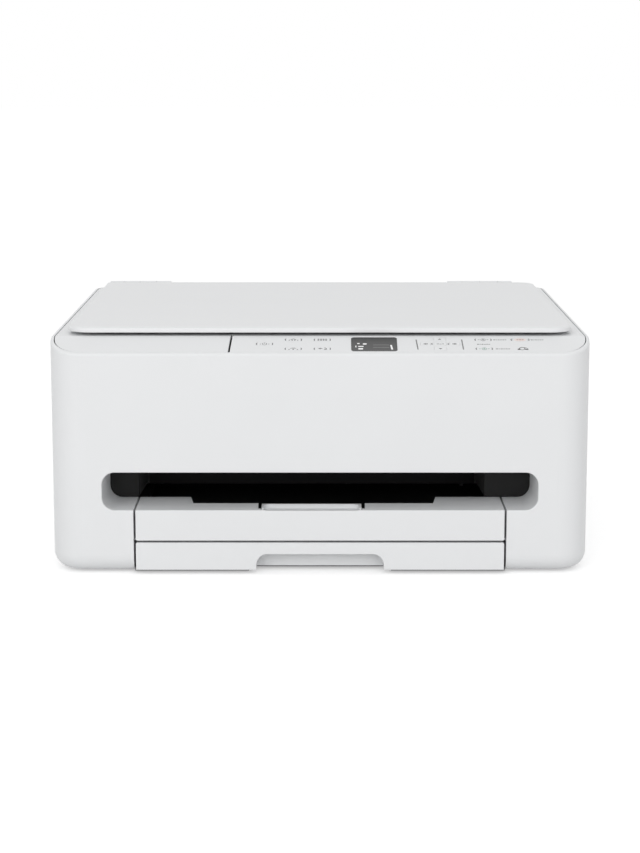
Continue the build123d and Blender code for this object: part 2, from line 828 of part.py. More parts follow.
with BuildPart() as support_stay:
    with BuildSketch(Plane.YZ.offset(stay_x[0])) as stay_outline:
        with BuildLine():
            middle = (stay_from + stay_to) / 2
            ThreePointArc(
                stay_point(stay_r + 5, stay_from), stay_point(stay_r + 5, middle), stay_point(stay_r + 5, stay_to)
            )
            Line(stay_point(stay_r + 5, stay_to), stay_point(stay_r - 5, stay_to))
            ThreePointArc(
                stay_point(stay_r - 5, stay_to), stay_point(stay_r - 5, middle), stay_point(stay_r - 5, stay_from)
            )
            Line(stay_point(stay_r - 5, stay_from), stay_point(stay_r + 5, stay_from))
        make_face()
    extrude(stay_outline.sketch, amount=stay_x[1] - stay_x[0])
    mount_y, mount_z = stay_point(stay_r, stay_from + 0.6)
    block((stay_x[0], -tub_half), (mount_y - 4, mount_y + 4), (mount_z - 1, mount_z + 9))
keep(support_stay, "support_stay")


# Control panel: hollow sloped piece with key holes and the window's seat
panel_wall = 2.2
window_x = (21.7, 53.9)
window_down = (1.8, 22.7)
window_round = 2.2
window_thick = 1.5
key_clear = 0.15
key_round = 1.2
flange_out = 0.4


def strip_rectangle(x, down, depth, radius):
    """A rounded rectangle on the strip, between two values of x and of the distance down."""
    with BuildSketch(panel_plane.offset(-depth)) as outline:
        with Locations(((x[0] + x[1]) / 2, -(down[0] + down[1]) / 2)):
            RectangleRounded(x[1] - x[0], down[1] - down[0], radius)
    return outline.sketch


def key_outline(x, down, width, grow, depth):
    """A key's outline, grown all round, at a depth below the strip."""
    half_w = width / 2 + grow
    half_h = key_height / 2 + grow
    return strip_rectangle(
        (x - half_w, x + half_w), (down - half_h, down + half_h), depth, key_round + max(grow, 0)
    )


with BuildPart() as control_panel:
    side_profile(
        [
            (panel_rear, rim_z),
            (ridge_y, rim_z),
            (plate_front - 1, strip_z(plate_front - 1)),
            (plate_front - 1, panel_under(plate_front - 1)),
            (panel_rear, panel_under(panel_rear)),
        ],
        (strip_seam_x[0], half_width),
    )
    extrude(
        plate_outline(strip_zone[0]), amount=strip_zone[1] - strip_zone[0], mode=Mode.INTERSECT
    )
    extrude(
        panel_bay(strip_seam / 2, panel_rear),
        amount=strip_zone[1] - strip_zone[0],
        mode=Mode.INTERSECT,
    )
    extrude(
        strip_rectangle((strip_seam_x[1] + 3.0, 160.0), (1.3, 22.2), panel_wall, 1.0),
        amount=-(panel_depth - panel_wall - 1.2),
        mode=Mode.SUBTRACT,
    )
    for name, x, down, width in keys:
        extrude(key_outline(x, down, width, key_clear, -1), amount=-(panel_wall + 2), mode=Mode.SUBTRACT)
    extrude(
        strip_rectangle(window_x, window_down, -1, window_round), amount=-(window_thick + 1.1), mode=Mode.SUBTRACT
    )
keep(control_panel, "control_panel")


# Display window: dark clear plate set in the panel
with BuildPart() as display_window:
    extrude(
        strip_rectangle(
            (window_x[0] + 0.1, window_x[1] - 0.1), (window_down[0] + 0.1, window_down[1] - 0.1), 0.05, window_round
        ),
        amount=-window_thick,
    )
keep(display_window, "display_window")


# Keys: flush caps, each with a hidden flange under the panel and a short stem
flange_thick = 0.8
stem_end = panel_depth - 1.2 - key_travel - 0.05


def make_key(name, x, down, width):
    """One key cap with its flange and stem."""
    with BuildPart() as key:
        extrude(key_outline(x, down, width, 0, 0), amount=-(panel_wall + 0.2))
        extrude(key_outline(x, down, width, flange_out, panel_wall + 0.1), amount=-flange_thick)
        extrude(key_outline(x, down, width, -1.1, panel_wall + 0.5), amount=-(stem_end - panel_wall - 0.5))
    keep(key, name)


for name, x, down, width in keys:
    make_key(name, x, down, width)


# Lid cover: thin slab with rounded corners, notched round the hinge humps
with BuildPart() as lid_cover:
    with BuildSketch(Plane.XY.offset(lid_low)) as lid_outline:
        with BuildLine():
            Polyline(
                (-lid_half, lid_front), (lid_half, lid_front), (lid_half, lid_rear), (-lid_half, lid_rear), close=True
            )
        make_face()
        front_corners = lid_outline.vertices().group_by(Axis.Y)[0]
        fillet(front_corners, 17.0)
        fillet(lid_outline.vertices().group_by(Axis.Y)[-1].sort_by(Axis.X)[-1:], 15.0)
        fillet(lid_outline.vertices().group_by(Axis.Y)[-1].sort_by(Axis.X)[:1], 4.0)
    extrude(amount=lid_high - lid_low)
    fillet(lid_cover.faces().sort_by(Axis.Z)[-1].edges(), 2.0)
    fillet(lid_cover.faces().sort_by(Axis.Z)[0].edges(), 0.7)
    lid_notch = hinge_y - barrel_r - 0.8
    block((-half_width, left_hump[1] + 1.0), (lid_notch, lid_rear + 1), (lid_low - 1, lid_high + 1), Mode.SUBTRACT)
    block(
        (right_hump[0] - 1.0, right_hump[1] + 1.0),
        (lid_notch, lid_rear + 1),
        (lid_low - 1, lid_high + 1),
        Mode.SUBTRACT,
    )
    for x in lid_knuckles:
        block(x, (lid_notch - 1, hinge_y), (lid_low + 0.3, lid_high - 0.3))
        barrel(x)
keep(lid_cover, "lid_cover")


# Lid pad: pale foam sheet under the lid, with two front rests
with BuildPart() as lid_pad:
    block((-151.0, 151.0), (-110.0, 110.0), (lid_low - 2.6, lid_low))
    for x in (-160.0, 160.0):
        block((x - 6, x + 6), (-127.0, -121.0), (rim_z, lid_low))
        block((x - 6, x + 6), (126.0, 132.0), (rim_z, lid_low))
keep(lid_pad, "lid_pad")


# Paper support: plate that slides up and back out of the chute, with a cap over the slot
support_front = chute_y + 0.6
support_x = (-84.0, 72.0)

with BuildPart() as paper_support:
    side_profile(
        [
            (lean_y(support_front, cover_z[0]), cover_z[0]),
            (lean_y(support_front, 96.0), 96.0),
            (lean_y(support_front, 96.0) + 2.0, 96.0),
            (lean_y(support_front, cover_z[0]) + 2.0, cover_z[0]),
        ],
        support_x,
    )
    block(cap_x, cap_y, cover_z)
    fillet(paper_support.faces().sort_by(Axis.Z)[-1].edges(), 0.6)
keep(paper_support, "paper_support")


# Rear paper guides: two blades in the chute, on its front wall
guide_y = chute_y - sheet_gap + 0.7


def rear_guide(name, x, tab):
    """One guide blade, with a hook over the chute's front wall."""
    hook_top = chute_top + 2.2
    hook_low = chute_top - 4
    with BuildPart() as guide:
        side_profile(
            [
                (lean_y(guide_y, hook_top), hook_top),
                (lean_y(guide_y, 126.0), 126.0),
                (lean_y(guide_y, 126.0) + 6.2, 126.0),
                (lean_y(guide_y, hook_top) + 6.2, hook_top),
            ],
            x,
        )
        side_profile(
            [
                (lean_y(guide_y, hook_top) + 2.0, hook_top),
                (front_face - 4.6, hook_top),
                (lean_y(front_face, hook_low) - 4.6, hook_low),
                (lean_y(front_face, hook_low) - 2.8, hook_low),
                (front_face - 2.8, chute_top + 0.3),
                (guide_y, chute_top + 0.3),
                (lean_y(guide_y, hook_low), hook_low),
                (lean_y(guide_y, hook_low) + 2.0, hook_low),
            ],
            tab,
        )
    keep(guide, name)


sheet_left = paper_x - sheet_width / 2
sheet_right = paper_x + sheet_width / 2
rear_guide("rear_guide_left", (sheet_left - 2.5, sheet_left - 0.5), (sheet_left - 6.5, sheet_left - 0.5))
rear_guide("rear_guide_right", (sheet_right + 0.5, sheet_right + 2.5), (sheet_right + 0.5, sheet_right + 6.5))


# Carriage: open box for two cartridges, sliding on the rod
bay_pitch = 32.0
carriage_mid = (carriage_park[0] + carriage_park[1]) / 2
carriage_wall = 3.0
carriage_low = paper_z + 3.5
tank_low = carriage_low + 2.7
tank_high = tank_low + 28.3
latch_y = -8.0
latch_z = tank_high + 3.5

with BuildPart() as carriage:
    block(carriage_park, (-42.0, 22.0), (carriage_low, carriage_low + 26))
    for side in (-1, 1):
        middle = carriage_mid + side * bay_pitch / 2
        block((middle - 14.5, middle + 14.5), (-39.0, 19.0), (carriage_low + 2.5, carriage_low + 27), Mode.SUBTRACT)
        block((middle - 8, middle + 8), (-26.0, 0.0), (carriage_low - 1, carriage_low + 3), Mode.SUBTRACT)
    for x in (carriage_park[0], carriage_mid - 1.5, carriage_park[1] - carriage_wall):
        block((x, x + carriage_wall), (latch_y - 4, 22.0), (carriage_low + 20, latch_z + 3))
    block(carriage_park, (19.0, 22.0), (carriage_low + 20, carriage_low + 35))
    block((108.0, 165.0), (22.0, 37.0), (rod_z - 8, rod_z + 8))
    rod_x((107.0, 166.0), rod_y, rod_z, rod_r + running_fit, Mode.SUBTRACT)
    block((122.0, 151.0), (22.0, 38.5), (rod_z + 8, rod_z + 10.5))
    block((130.0, 143.0), (20.0, 43.8), (frame_top - 5.3, frame_top - 3))
    clamp_z = belt_z - pulley_r - belt_gap - belt_thick / 2
    block((128.0, 146.0), (36.0, 44.0), (clamp_z - 2.8, clamp_z + 2.8))
    block((127.0, 147.0), (belt_y - 1.8, belt_y + 1.8), (clamp_z - 0.85, clamp_z + 0.85), Mode.SUBTRACT)
    rod_x((carriage_park[0] - 1, carriage_park[1] + 1), latch_y, latch_z, 1.5 + running_fit, Mode.SUBTRACT)
keep(carriage, "carriage")


def cartridge(name, middle):
    """One ink cartridge with its nozzle foot and label plate."""
    with BuildPart() as tank:
        block((middle - 14.0, middle + 14.0), (-38.4, 18.4), (tank_low, tank_high))
        fillet(tank.edges().filter_by(Axis.X).group_by(Axis.Z)[-1], 3.0)
        block((middle - 7, middle + 7), (-25.0, -1.0), (carriage_low - 1.1, tank_low + 0.3))
        block((middle - 10.0, middle + 10.0), (-34.0, -14.0), (tank_high, tank_high + 0.6))
    keep(tank, name)


cartridge("black_cartridge", carriage_mid - bay_pitch / 2)
cartridge("colour_cartridge", carriage_mid + bay_pitch / 2)


def latch(name, low_x, high_x, pin):
    """One lock lever over a cartridge, on its own pin."""
    with BuildPart() as lever:
        block((low_x, high_x), (-38.0, latch_y), (latch_z - 1.4, latch_z + 1.4))
        block((low_x + 4, high_x - 4), (-42.0, -36.0), (latch_z - 1.4, latch_z + 3.0))
        rod_x((low_x, high_x), latch_y, latch_z, 2.4)
        rod_x(pin, latch_y, latch_z, 1.5)
    keep(lever, name)


latch("latch_black", 106.6, 134.4, (103.4, 136.3))
latch("latch_colour", 138.6, 166.4, (136.7, 169.6))


def belt_pulley(name, x):
    """One belt pulley in front of the beam, its axle through the beam."""
    with BuildPart() as pulley:
        rod_y_axis(x, (belt_y - 2.0, belt_y + 2.0), belt_z, pulley_r)
        rod_y_axis(x, (belt_y - 3.0, belt_y - 2.0), belt_z, pulley_r + 1.4)
        rod_y_axis(x, (belt_y - 3.0, beam_y + 4.4), belt_z, 2.0)
        for turn in range(4):
            angle = math.radians(45 + 90 * turn)
            rod_y_axis(
                x + 3.8 * math.cos(angle),
                (belt_y - 4, belt_y + 3),
                belt_z + 3.8 * math.sin(angle),
                1.0,
                Mode.SUBTRACT,
            )
    keep(pulley, name)


belt_pulley("motor_pulley", belt_x)
belt_pulley("idler_pulley", -belt_x)


# Feed roller: rubber-coated shaft with its pulley, in the left plate and the bracket
def shaft_pulley(y, z, shaft_r):
    """Belt pulley with four holes, on a shaft's left end."""
    rod_x(feed_pulley_x, y, z, feed_pulley_r)
    for turn in range(4):
        angle = math.radians(90 * turn)
        rod_x(
            (feed_pulley_x[0] - 1, feed_pulley_x[1] + 1),
            y + 6.2 * math.cos(angle),
            z + 6.2 * math.sin(angle),
            1.4,
            Mode.SUBTRACT,
        )
    rod_x((-frame_half - 1.0, bracket_x + 3.2), y, z, shaft_r)


with BuildPart() as feed_roller:
    shaft_pulley(feed_y, feed_z, 4.0)
    rod_x((-112.0, 99.0), feed_y, feed_z, 5.0)
keep(feed_roller, "feed_roller")


# Exit roller: thin shaft with rubber rings behind the slot
with BuildPart() as exit_roller:
    shaft_pulley(exit_y, exit_z, 3.0)
    for step in range(9):
        x = paper_x - 100.0 + step * 24.0
        rod_x((x, x + 8), exit_y, exit_z, 5.4)
keep(exit_roller, "exit_roller")


# Pickup arm and its roller, over the rear of the cassette
pick_y = 105.0
pick_z = 31.0
pick_r = 8.0

with BuildPart() as pickup_arm:
    for x in (-18.0, 3.5):
        side_profile(
            [
                (arm_pivot_y - 4, arm_pivot_z + 4),
                (arm_pivot_y - 4, arm_pivot_z - 4),
                (pick_y - 1, pick_z - 4),
                (pick_y + 4, pick_z - 4),
                (pick_y + 4, pick_z + 3),
                (arm_pivot_y + 4, arm_pivot_z + 4),
            ],
            (x, x + 2.5),
        )
    block((-16.0, 4.0), (arm_pivot_y - 4, arm_pivot_y + 12), (arm_pivot_z - 2, arm_pivot_z + 1))
    rod_x((arm_ears[0] + 0.2, arm_ears[1] + 1.8), arm_pivot_y, arm_pivot_z, 2.0)
    rod_x((-19.0, 7.0), pick_y, pick_z, 1.5 + running_fit, Mode.SUBTRACT)
keep(pickup_arm, "pickup_arm")

with BuildPart() as pickup_roller:
    rod_x((-15.0, 3.0), pick_y, pick_z, pick_r)
    rod_x((-18.0, 6.0), pick_y, pick_z, 1.5)
    for step in range(12):
        angle = math.radians(30 * step)
        rod_x(
            (-16.0, 4.0),
            pick_y + (pick_r + 0.3) * math.cos(angle),
            pick_z + (pick_r + 0.3) * math.sin(angle),
            0.7,
            Mode.SUBTRACT,
        )
keep(pickup_roller, "pickup_roller")


# Output tray: upper drawer, its top stepped down behind the middle
tray_low = drawer_split + drawer_gap / 2
tray_back = tunnel_back
step_y = front_y + 24.1
step_left = (-93.2, -90.1)
step_right = (83.4, 80.4)
stop_x = (-41.3, 29.3)
stop_notch = 2.5
stop_gap = 0.3
notch_y = front_y + 6.3
stop_y = front_y + 3.6
stop_z = 42.2
stop_pin_r = 1.2
stop_lip = 0.25
stop_barrel_r = 1.7

with BuildPart() as output_tray:
    block((-drawer_half, drawer_half), (front_y, tray_back), (tray_low, slot_low))
    fillet(output_tray.edges().filter_by(Axis.Y).group_by(Axis.Z)[0], split_round)
    fillet(output_tray.faces().sort_by(Axis.Y)[0].edges(), drawer_round)
    block(
        (-drawer_half + wall, drawer_half - wall),
        (front_y + wall, tray_back + 1),
        (tray_low + wall, slot_low - wall),
        Mode.SUBTRACT,
    )
    with BuildSketch(Plane.XY.offset(tray_low + wall)) as step_cut:
        with BuildLine():
            Polyline(
                (step_left[0], tray_back + 1),
                (step_left[1], step_y),
                (step_right[1], step_y),
                (step_right[0], tray_back + 1),
                close=True,
            )
        make_face()
    extrude(step_cut.sketch, amount=30.0, mode=Mode.SUBTRACT)
    block(
        (stop_x[0] - stop_gap, stop_x[1] + stop_gap),
        (front_y + 1.3, step_y + 1),
        (stop_z - 3.0, slot_low + 1),
        Mode.SUBTRACT,
    )
    block(
        (stop_x[0] - stop_notch, stop_x[1] + stop_notch),
        (notch_y, step_y + 1),
        (stop_z - 3.0, slot_low + 1),
        Mode.SUBTRACT,
    )
    block(
        (stop_x[0] + 3, stop_x[1] - 3),
        (front_y - 1, front_y + 2),
        (slot_low - stop_lip, slot_low + 1),
        Mode.SUBTRACT,
    )
    for x in (stop_x[0] - stop_notch - 2.5, stop_x[1] + stop_notch):
        block((x, x + 2.5), (front_y + 1.3, step_y - 1), (stop_z - 5.0, slot_low - wall))
        rod_x((x - 1, x + 3.5), stop_y, stop_z, stop_pin_r + running_fit, Mode.SUBTRACT)
keep(output_tray, "output_tray")


# Output deck: black floor behind the tray front, where sheets land
deck_side = 126.0

with BuildPart() as output_deck:
    block((-deck_side, deck_side), (tray_back, deck_back), (deck_low, deck_high))
    block((-89.0, 79.0), (step_y + 0.6, tray_back), (deck_low, deck_high))
    for x in (-117.0, -60.0, 0.0, 60.0, 115.0):
        block((x, x + 2), (tray_back, deck_back), (tray_low + wall + 0.6, deck_low))
    for x in (-80.0, 0.0, 70.0):
        block((x, x + 2), (step_y + 2, tray_back), (tray_low + wall, deck_low))
    for x in (-deck_side, deck_side - 1.5):
        block((x, x + 1.5), (tray_back, deck_back), (deck_low, deck_high + 3.5))
    block((-deck_side, deck_side), (deck_back - 4, deck_back), (deck_high, deck_high + 1.2))
keep(output_deck, "output_deck")


# Output stop: dished flap on the tray front that stands up to catch sheets
stop_back = step_y - 0.3
stop_top = slot_low - 0.25
stop_floor = (stop_z - 0.9, stop_z + 0.7)
dish_wall = 1.4
dish_round = 6.0
cheek_y = (notch_y + 2.2, notch_y + 3.2)

with BuildPart() as output_stop:
    block(stop_x, (stop_y, stop_back), (stop_floor[0], stop_top))
    with BuildSketch(Plane.XY.offset(stop_floor[1])) as dish:
        with Locations(((stop_x[0] + stop_x[1]) / 2, stop_back - 1.8 - 20)):
            RectangleRounded(stop_x[1] - stop_x[0] - 2 * dish_wall, 40.0, dish_round)
    extrude(dish.sketch, amount=10.0, mode=Mode.SUBTRACT)
    side_profile(
        [
            (stop_y - 5, stop_floor[1]),
            (cheek_y[0], stop_floor[1]),
            (cheek_y[1], stop_top + 1),
            (stop_y - 5, stop_top + 1),
        ],
        (stop_x[0] - 1, stop_x[1] + 1),
        Mode.SUBTRACT,
    )
    fillet(output_stop.faces().sort_by(Axis.Y)[-1].edges().filter_by(Axis.Z), 0.5)
    rod_x(stop_x, stop_y, stop_z, stop_barrel_r)
    rod_x((stop_x[0] - stop_notch - 2.2, stop_x[1] + stop_notch + 2.2), stop_y, stop_z, stop_pin_r)
keep(output_stop, "output_stop")


# Cassette: lower drawer with the finger recess and the open paper box behind
cassette_high = drawer_split - drawer_gap / 2
cassette_half = 129.0
recess_round = 8.0

with BuildPart() as cassette:
    block((-drawer_half, drawer_half), (front_y, front_y + 4.5), (drawer_low, cassette_high))
    fillet(cassette.edges().filter_by(Axis.Y).group_by(Axis.Z)[-1], split_round)
    fillet(cassette.faces().sort_by(Axis.Y)[0].edges(), drawer_round)
    block((-cassette_half, cassette_half), (front_y + 4, box_back), (box_floor[0], box_high))
    block(
        (-cassette_half + 2, cassette_half - 2),
        (front_y + 6.5, box_back - 2),
        (box_floor[1], box_high + 1),
        Mode.SUBTRACT,
    )
    block(
        (-recess_half - 4, recess_half + 4),
        (front_y + 4, front_y + recess_depth + 1.6),
        (drawer_low, recess_top + 2),
    )
    with BuildSketch(Plane.XZ.offset(-front_y + 1)) as recess:
        with Locations((0, (recess_top - 20) / 2)):
            RectangleRounded(2 * recess_half, recess_top + 20, recess_round)
    extrude(recess.sketch, amount=-(recess_depth + 1), mode=Mode.SUBTRACT)
keep(cassette, "cassette")


# Cassette guides: two side guides that move together, and one length guide
guide_low = box_floor[1] + 0.05
guide_high = 19.0


def side_guide(name, face, out):
    """One side guide whose face touches the stack at x = face; out points away from it."""
    with BuildPart() as guide:
        block((face + out * 0.5, face + out * 2.5), (-50.0, 50.0), (guide_low, guide_high))
        block((face - out * 13.0, face + out * 2.5), (-16.0, 16.0), (guide_low, guide_low + 1.0))
        block((face + out * 2.5, face + out * 5.5), (-12.0, 12.0), (guide_low + 4, guide_high))
    keep(guide, name)


side_guide("cassette_guide_left", sheet_left, -1)
side_guide("cassette_guide_right", sheet_right, 1)

length_y = box_back - 3.0 - sheet_length
with BuildPart() as cassette_length_guide:
    block((paper_x - 20, paper_x + 20), (length_y - 2.0, length_y), (guide_low, guide_high))
    block((paper_x - 12, paper_x + 12), (length_y - 2.0, length_y + 18.0), (guide_low, guide_low + 1.0))
keep(cassette_length_guide, "cassette_length_guide")
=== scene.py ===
import math

import bmesh
import bpy
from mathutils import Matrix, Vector


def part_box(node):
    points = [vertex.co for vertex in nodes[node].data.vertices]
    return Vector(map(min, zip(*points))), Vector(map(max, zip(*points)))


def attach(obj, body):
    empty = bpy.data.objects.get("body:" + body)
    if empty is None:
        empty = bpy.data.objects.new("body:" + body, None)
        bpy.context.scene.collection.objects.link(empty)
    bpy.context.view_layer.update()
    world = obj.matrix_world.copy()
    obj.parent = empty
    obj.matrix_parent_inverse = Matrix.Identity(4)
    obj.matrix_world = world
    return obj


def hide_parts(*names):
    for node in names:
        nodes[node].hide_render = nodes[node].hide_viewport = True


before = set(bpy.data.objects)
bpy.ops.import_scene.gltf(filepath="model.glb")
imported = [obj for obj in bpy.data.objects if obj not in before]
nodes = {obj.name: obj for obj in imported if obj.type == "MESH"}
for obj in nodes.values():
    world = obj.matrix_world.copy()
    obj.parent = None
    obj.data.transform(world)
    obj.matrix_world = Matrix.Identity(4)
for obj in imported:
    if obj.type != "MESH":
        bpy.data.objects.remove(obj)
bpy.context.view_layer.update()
mm = 0.001
print("frame loaded:", len(nodes), "nodes")


# shader helpers: sums on a Wire add Math nodes, any other node comes from Finish.node
class Wire:
    def __init__(self, finish, socket):
        self.finish = finish
        self.socket = socket

    def maths(self, operation, *parts):
        return self.finish.node("Math", {"operation": operation}, dict(enumerate(parts)))

    def __add__(self, other):
        return self.maths("ADD", self, other)

    def __sub__(self, other):
        return self.maths("SUBTRACT", self, other)

    def __rsub__(self, other):
        return self.maths("SUBTRACT", other, self)

    def __mul__(self, other):
        return self.maths("MULTIPLY", self, other)

    __radd__ = __add__
    __rmul__ = __mul__

    def above(self, edge):
        return self.maths("GREATER_THAN", self, edge)

    def below(self, edge):
        return 1 - self.above(edge)

    def between(self, low, high):
        return self.above(low) * self.below(high)

    def either(self, other):
        return self.maths("MAXIMUM", self, other)

    def wave(self):
        return self.maths("SINE", self)

    def root(self):
        return self.maths("SQRT", self)

    def size(self):
        return self.maths("ABSOLUTE", self)

    def about(self, value, spread):
        # a noise from 0 to 1, spread evenly round a value
        return value + (self - 0.5) * spread


class Finish:
    def __init__(self, name, owner=None):
        self.owner = owner or bpy.data.materials.new(name)
        self.owner.use_nodes = True
        self.tree = self.owner.node_tree
        self.tree.nodes.clear()

    def node(self, kind, settings=None, sockets=None, out=0):
        made = self.tree.nodes.new("ShaderNode" + kind)
        for key, value in (settings or {}).items():
            setattr(made, key, value)
        for key, value in (sockets or {}).items():
            if isinstance(value, Wire):
                self.tree.links.new(value.socket, made.inputs[key])
            else:
                made.inputs[key].default_value = value
        return Wire(self, made.outputs[out]) if len(made.outputs) else None

    def place(self):
        return self.node("TexCoord", out="Object")

    def axes(self, place):
        split = self.node("SeparateXYZ", None, {0: place})
        return [Wire(self, socket) for socket in split.socket.node.outputs]

    def stretched(self, place, scale):
        return self.node("Mapping", None, {"Vector": place, "Scale": scale})

    # sizes and depths of the patterns below are in millimetres
    def noise(self, place, size, detail=2.0):
        return self.node("TexNoise", None, {"Vector": place, "Scale": 1 / (size * mm), "Detail": detail})

    def cells(self, place, size):
        return self.node("TexVoronoi", None, {"Vector": place, "Scale": 1 / (size * mm)})

    def bump(self, height, strength, depth):
        return self.node("Bump", None, {"Height": height, "Strength": strength, "Distance": depth * mm})

    def colours(self, factor, first, second):
        # inputs 6 and 7 and output 2 are the Mix node's colours
        pair = [c if isinstance(c, Wire) else rgba(c) for c in (first, second)]
        return self.node("Mix", {"data_type": "RGBA"}, {0: factor, 6: pair[0], 7: pair[1]}, 2)

    def greys(self, factor, tones, cool=0.0):
        return self.colours(factor, *[grey(tone, cool) for tone in tones])

    def surface(self, sockets):
        shader = self.node("BsdfPrincipled", None, sockets)
        self.node("OutputMaterial", None, {"Surface": shader})
        return self.owner


def rgba(colour):
    return (*colour, 1.0)


def metres(lengths):
    return [length * mm for length in lengths]


def grey(level, cool=0.0):
    # an sRGB grey, 0 to 255, as a linear colour; cool lifts the blue a little
    linear = ((level / 255 + 0.055) / 1.055) ** 2.4
    return (linear * (1 - cool), linear, linear * (1 + cool))


def dress(finish, *names):
    # gives a CAD node its finish, in every slot it has
    for name in names:
        mesh = nodes[name].data
        if not mesh.materials:
            mesh.materials.append(finish)
        for index in range(len(mesh.materials)):
            mesh.materials[index] = finish


# moulded plastic: fine spark-erosion grain over a slow drift of tone
plasticLooks = {
    "caseWhite": {"tone": 237, "cool": 0.010, "rough": 0.42, "shine": 0.42,
                  "grain": 0.30, "size": 0.45, "drift": 0.012},
    "keyWhite": {"tone": 238, "cool": 0.010, "rough": 0.38, "shine": 0.42,
                 "grain": 0.18, "size": 0.35, "drift": 0.010},
    "innerGrey": {"tone": 124, "cool": 0.010, "rough": 0.55, "shine": 0.42,
                  "grain": 0.45, "size": 0.60, "drift": 0.05},
    "innerDark": {"tone": 52, "cool": 0.010, "rough": 0.58, "shine": 0.38,
                  "grain": 0.55, "size": 0.70, "drift": 0.10},
    "innerBlack": {"tone": 24, "cool": 0.010, "rough": 0.50, "shine": 0.35,
                   "grain": 0.50, "size": 0.60, "drift": 0.14},
    "tankBlack": {"tone": 22, "cool": 0.015, "rough": 0.24, "shine": 0.5,
                  "grain": 0.10, "size": 0.40, "drift": 0.10},
}
mouldLook = {"driftSize": 55, "grainDepth": 0.02, "sink": 0.6, "roughByGrain": 0.10, "roughByDrift": 0.06}


def mouldedPlastic(name):
    look = plasticLooks[name]
    finish = Finish(name)
    place = finish.place()
    grain = finish.noise(place, look["size"], 3.0)
    drift = finish.noise(place, mouldLook["driftSize"])
    tone = grey(look["tone"], look["cool"])
    darker = [level * (1 - 2 * look["drift"]) for level in tone]
    rough = grain.about(look["rough"], mouldLook["roughByGrain"])
    return finish.surface({
        "Base Color": finish.colours(drift, darker, tone),
        "Roughness": drift.about(rough, mouldLook["roughByDrift"]),
        "Normal": finish.bump(grain + drift * mouldLook["sink"], look["grain"], mouldLook["grainDepth"]),
        "Specular IOR Level": look["shine"],
    })


dress(mouldedPlastic("caseWhite"), "outer_shell", "lid_cover", "control_panel", "rear_cover",
      "rear_top_cover", "output_tray", "output_stop", "cassette", "paper_support")
dress(mouldedPlastic("innerGrey"), "base_pan", "maintenance_station", "support_stay", "pickup_arm",
      "motor_pulley", "idler_pulley", "latch_black", "latch_colour", "rear_guide_left", "rear_guide_right",
      "cassette_guide_left", "cassette_guide_right", "cassette_length_guide")
dress(mouldedPlastic("innerDark"), "inner_deck", "scanner_tub")
dress(mouldedPlastic("innerBlack"), "print_platen", "rear_chute", "carriage", "output_deck")
dress(mouldedPlastic("tankBlack"), "black_cartridge", "colour_cartridge")
keyNames = [name for name in nodes if name.endswith("_key") or "_key_" in name]
dress(mouldedPlastic("keyWhite"), *keyNames)
print("plastics done:", len(keyNames), "keys")


# in the looks below, rough as a pair is (middle, spread) and bump is (strength, depth)

# slot liner: charcoal end plates; behind their face the cheeks are painted lighter and the middle of the
# throat near black, painted light and painted shade deep in the slot
linerLook = {"plate": (24, 29), "cool": 0.006, "cheek": 84, "inside": 9, "face": -123.5,
             "throatX": (-127.5, 115.5), "grain": 0.5, "rough": (0.48, 0.10), "bump": (0.40, 0.02),
             "shine": 0.22}


def linerFinish(look):
    finish = Finish("linerCharcoal")
    place = finish.place()
    across, along = finish.axes(place)[:2]
    deep = along.above(look["face"] * mm)
    middle = across.between(*metres(look["throatX"]))
    grain = finish.noise(place, look["grain"], 3.0)
    plate = finish.greys(grain, look["plate"], look["cool"])
    # painted light and shade: the cheeks lighter, the middle of the throat near black where shade falls
    throatLightAndShade = finish.greys(middle, (look["cheek"], look["inside"]))
    return finish.surface({
        "Base Color": finish.colours(deep, plate, throatLightAndShade),
        "Roughness": grain.about(*look["rough"]),
        "Normal": finish.bump(grain, *look["bump"]),
        "Specular IOR Level": look["shine"],
    })


dress(linerFinish(linerLook), "slot_liner")


# scanner frame: case white on top, a dark printed border next to the glass
glassHalf = (153.0, 112.0)
topPlateLook = {"border": 4.0, "top": 165.8, "ink": 60, "inkGloss": 0.12, "white": (234, 237),
                "cool": 0.010, "grain": 0.45, "driftSize": 55, "rough": (0.42, 0.10),
                "bump": (0.30, 0.02), "shine": 0.42}


def topPlateFinish(look):
    finish = Finish("topPlate")
    place = finish.place()
    across, along, up = finish.axes(place)
    grain = finish.noise(place, look["grain"], 3.0)
    drift = finish.noise(place, look["driftSize"])
    halfX, halfY = metres(half + look["border"] for half in glassHalf)
    inside = across.between(-halfX, halfX) * along.between(-halfY, halfY) * up.above(look["top"] * mm)
    white = finish.greys(drift, look["white"], look["cool"])
    return finish.surface({
        "Base Color": finish.colours(inside, white, grey(look["ink"])),
        "Roughness": grain.about(*look["rough"]) - inside * look["inkGloss"],
        "Normal": finish.bump(grain, *look["bump"]),
        "Specular IOR Level": look["shine"],
    })


dress(topPlateFinish(topPlateLook), "scanner_top_plate")


# float glass over the scanner, faintly green, with a trace of dust and wiping
glassLook = {"tint": (0.90, 0.96, 0.94), "film": 0.97, "rough": 0.015, "dust": 0.05, "wipe": 40,
             "stretch": (1, 6, 1), "bend": 1.52}


def glassFinish(look):
    finish = Finish("scannerGlass")
    wipe = finish.noise(finish.stretched(finish.place(), look["stretch"]), look["wipe"], 4.0)
    return finish.surface({
        "Base Color": finish.colours(wipe, look["tint"], [level * look["film"] for level in look["tint"]]),
        "Roughness": look["rough"] + wipe * look["dust"],
        "Transmission Weight": 1.0,
        "IOR": look["bend"],
    })


dress(glassFinish(glassLook), "platen_glass")


# dark window of the little screen: smoked plastic over a matt panel, darker up the slope
windowLook = {"tones": (76, 56), "front": -172, "deep": 25, "cloud": 6, "rough": (0.30, 0.05),
              "coat": 0.2, "coatDrift": 0.05, "coatRough": 0.25, "shine": 0.3}


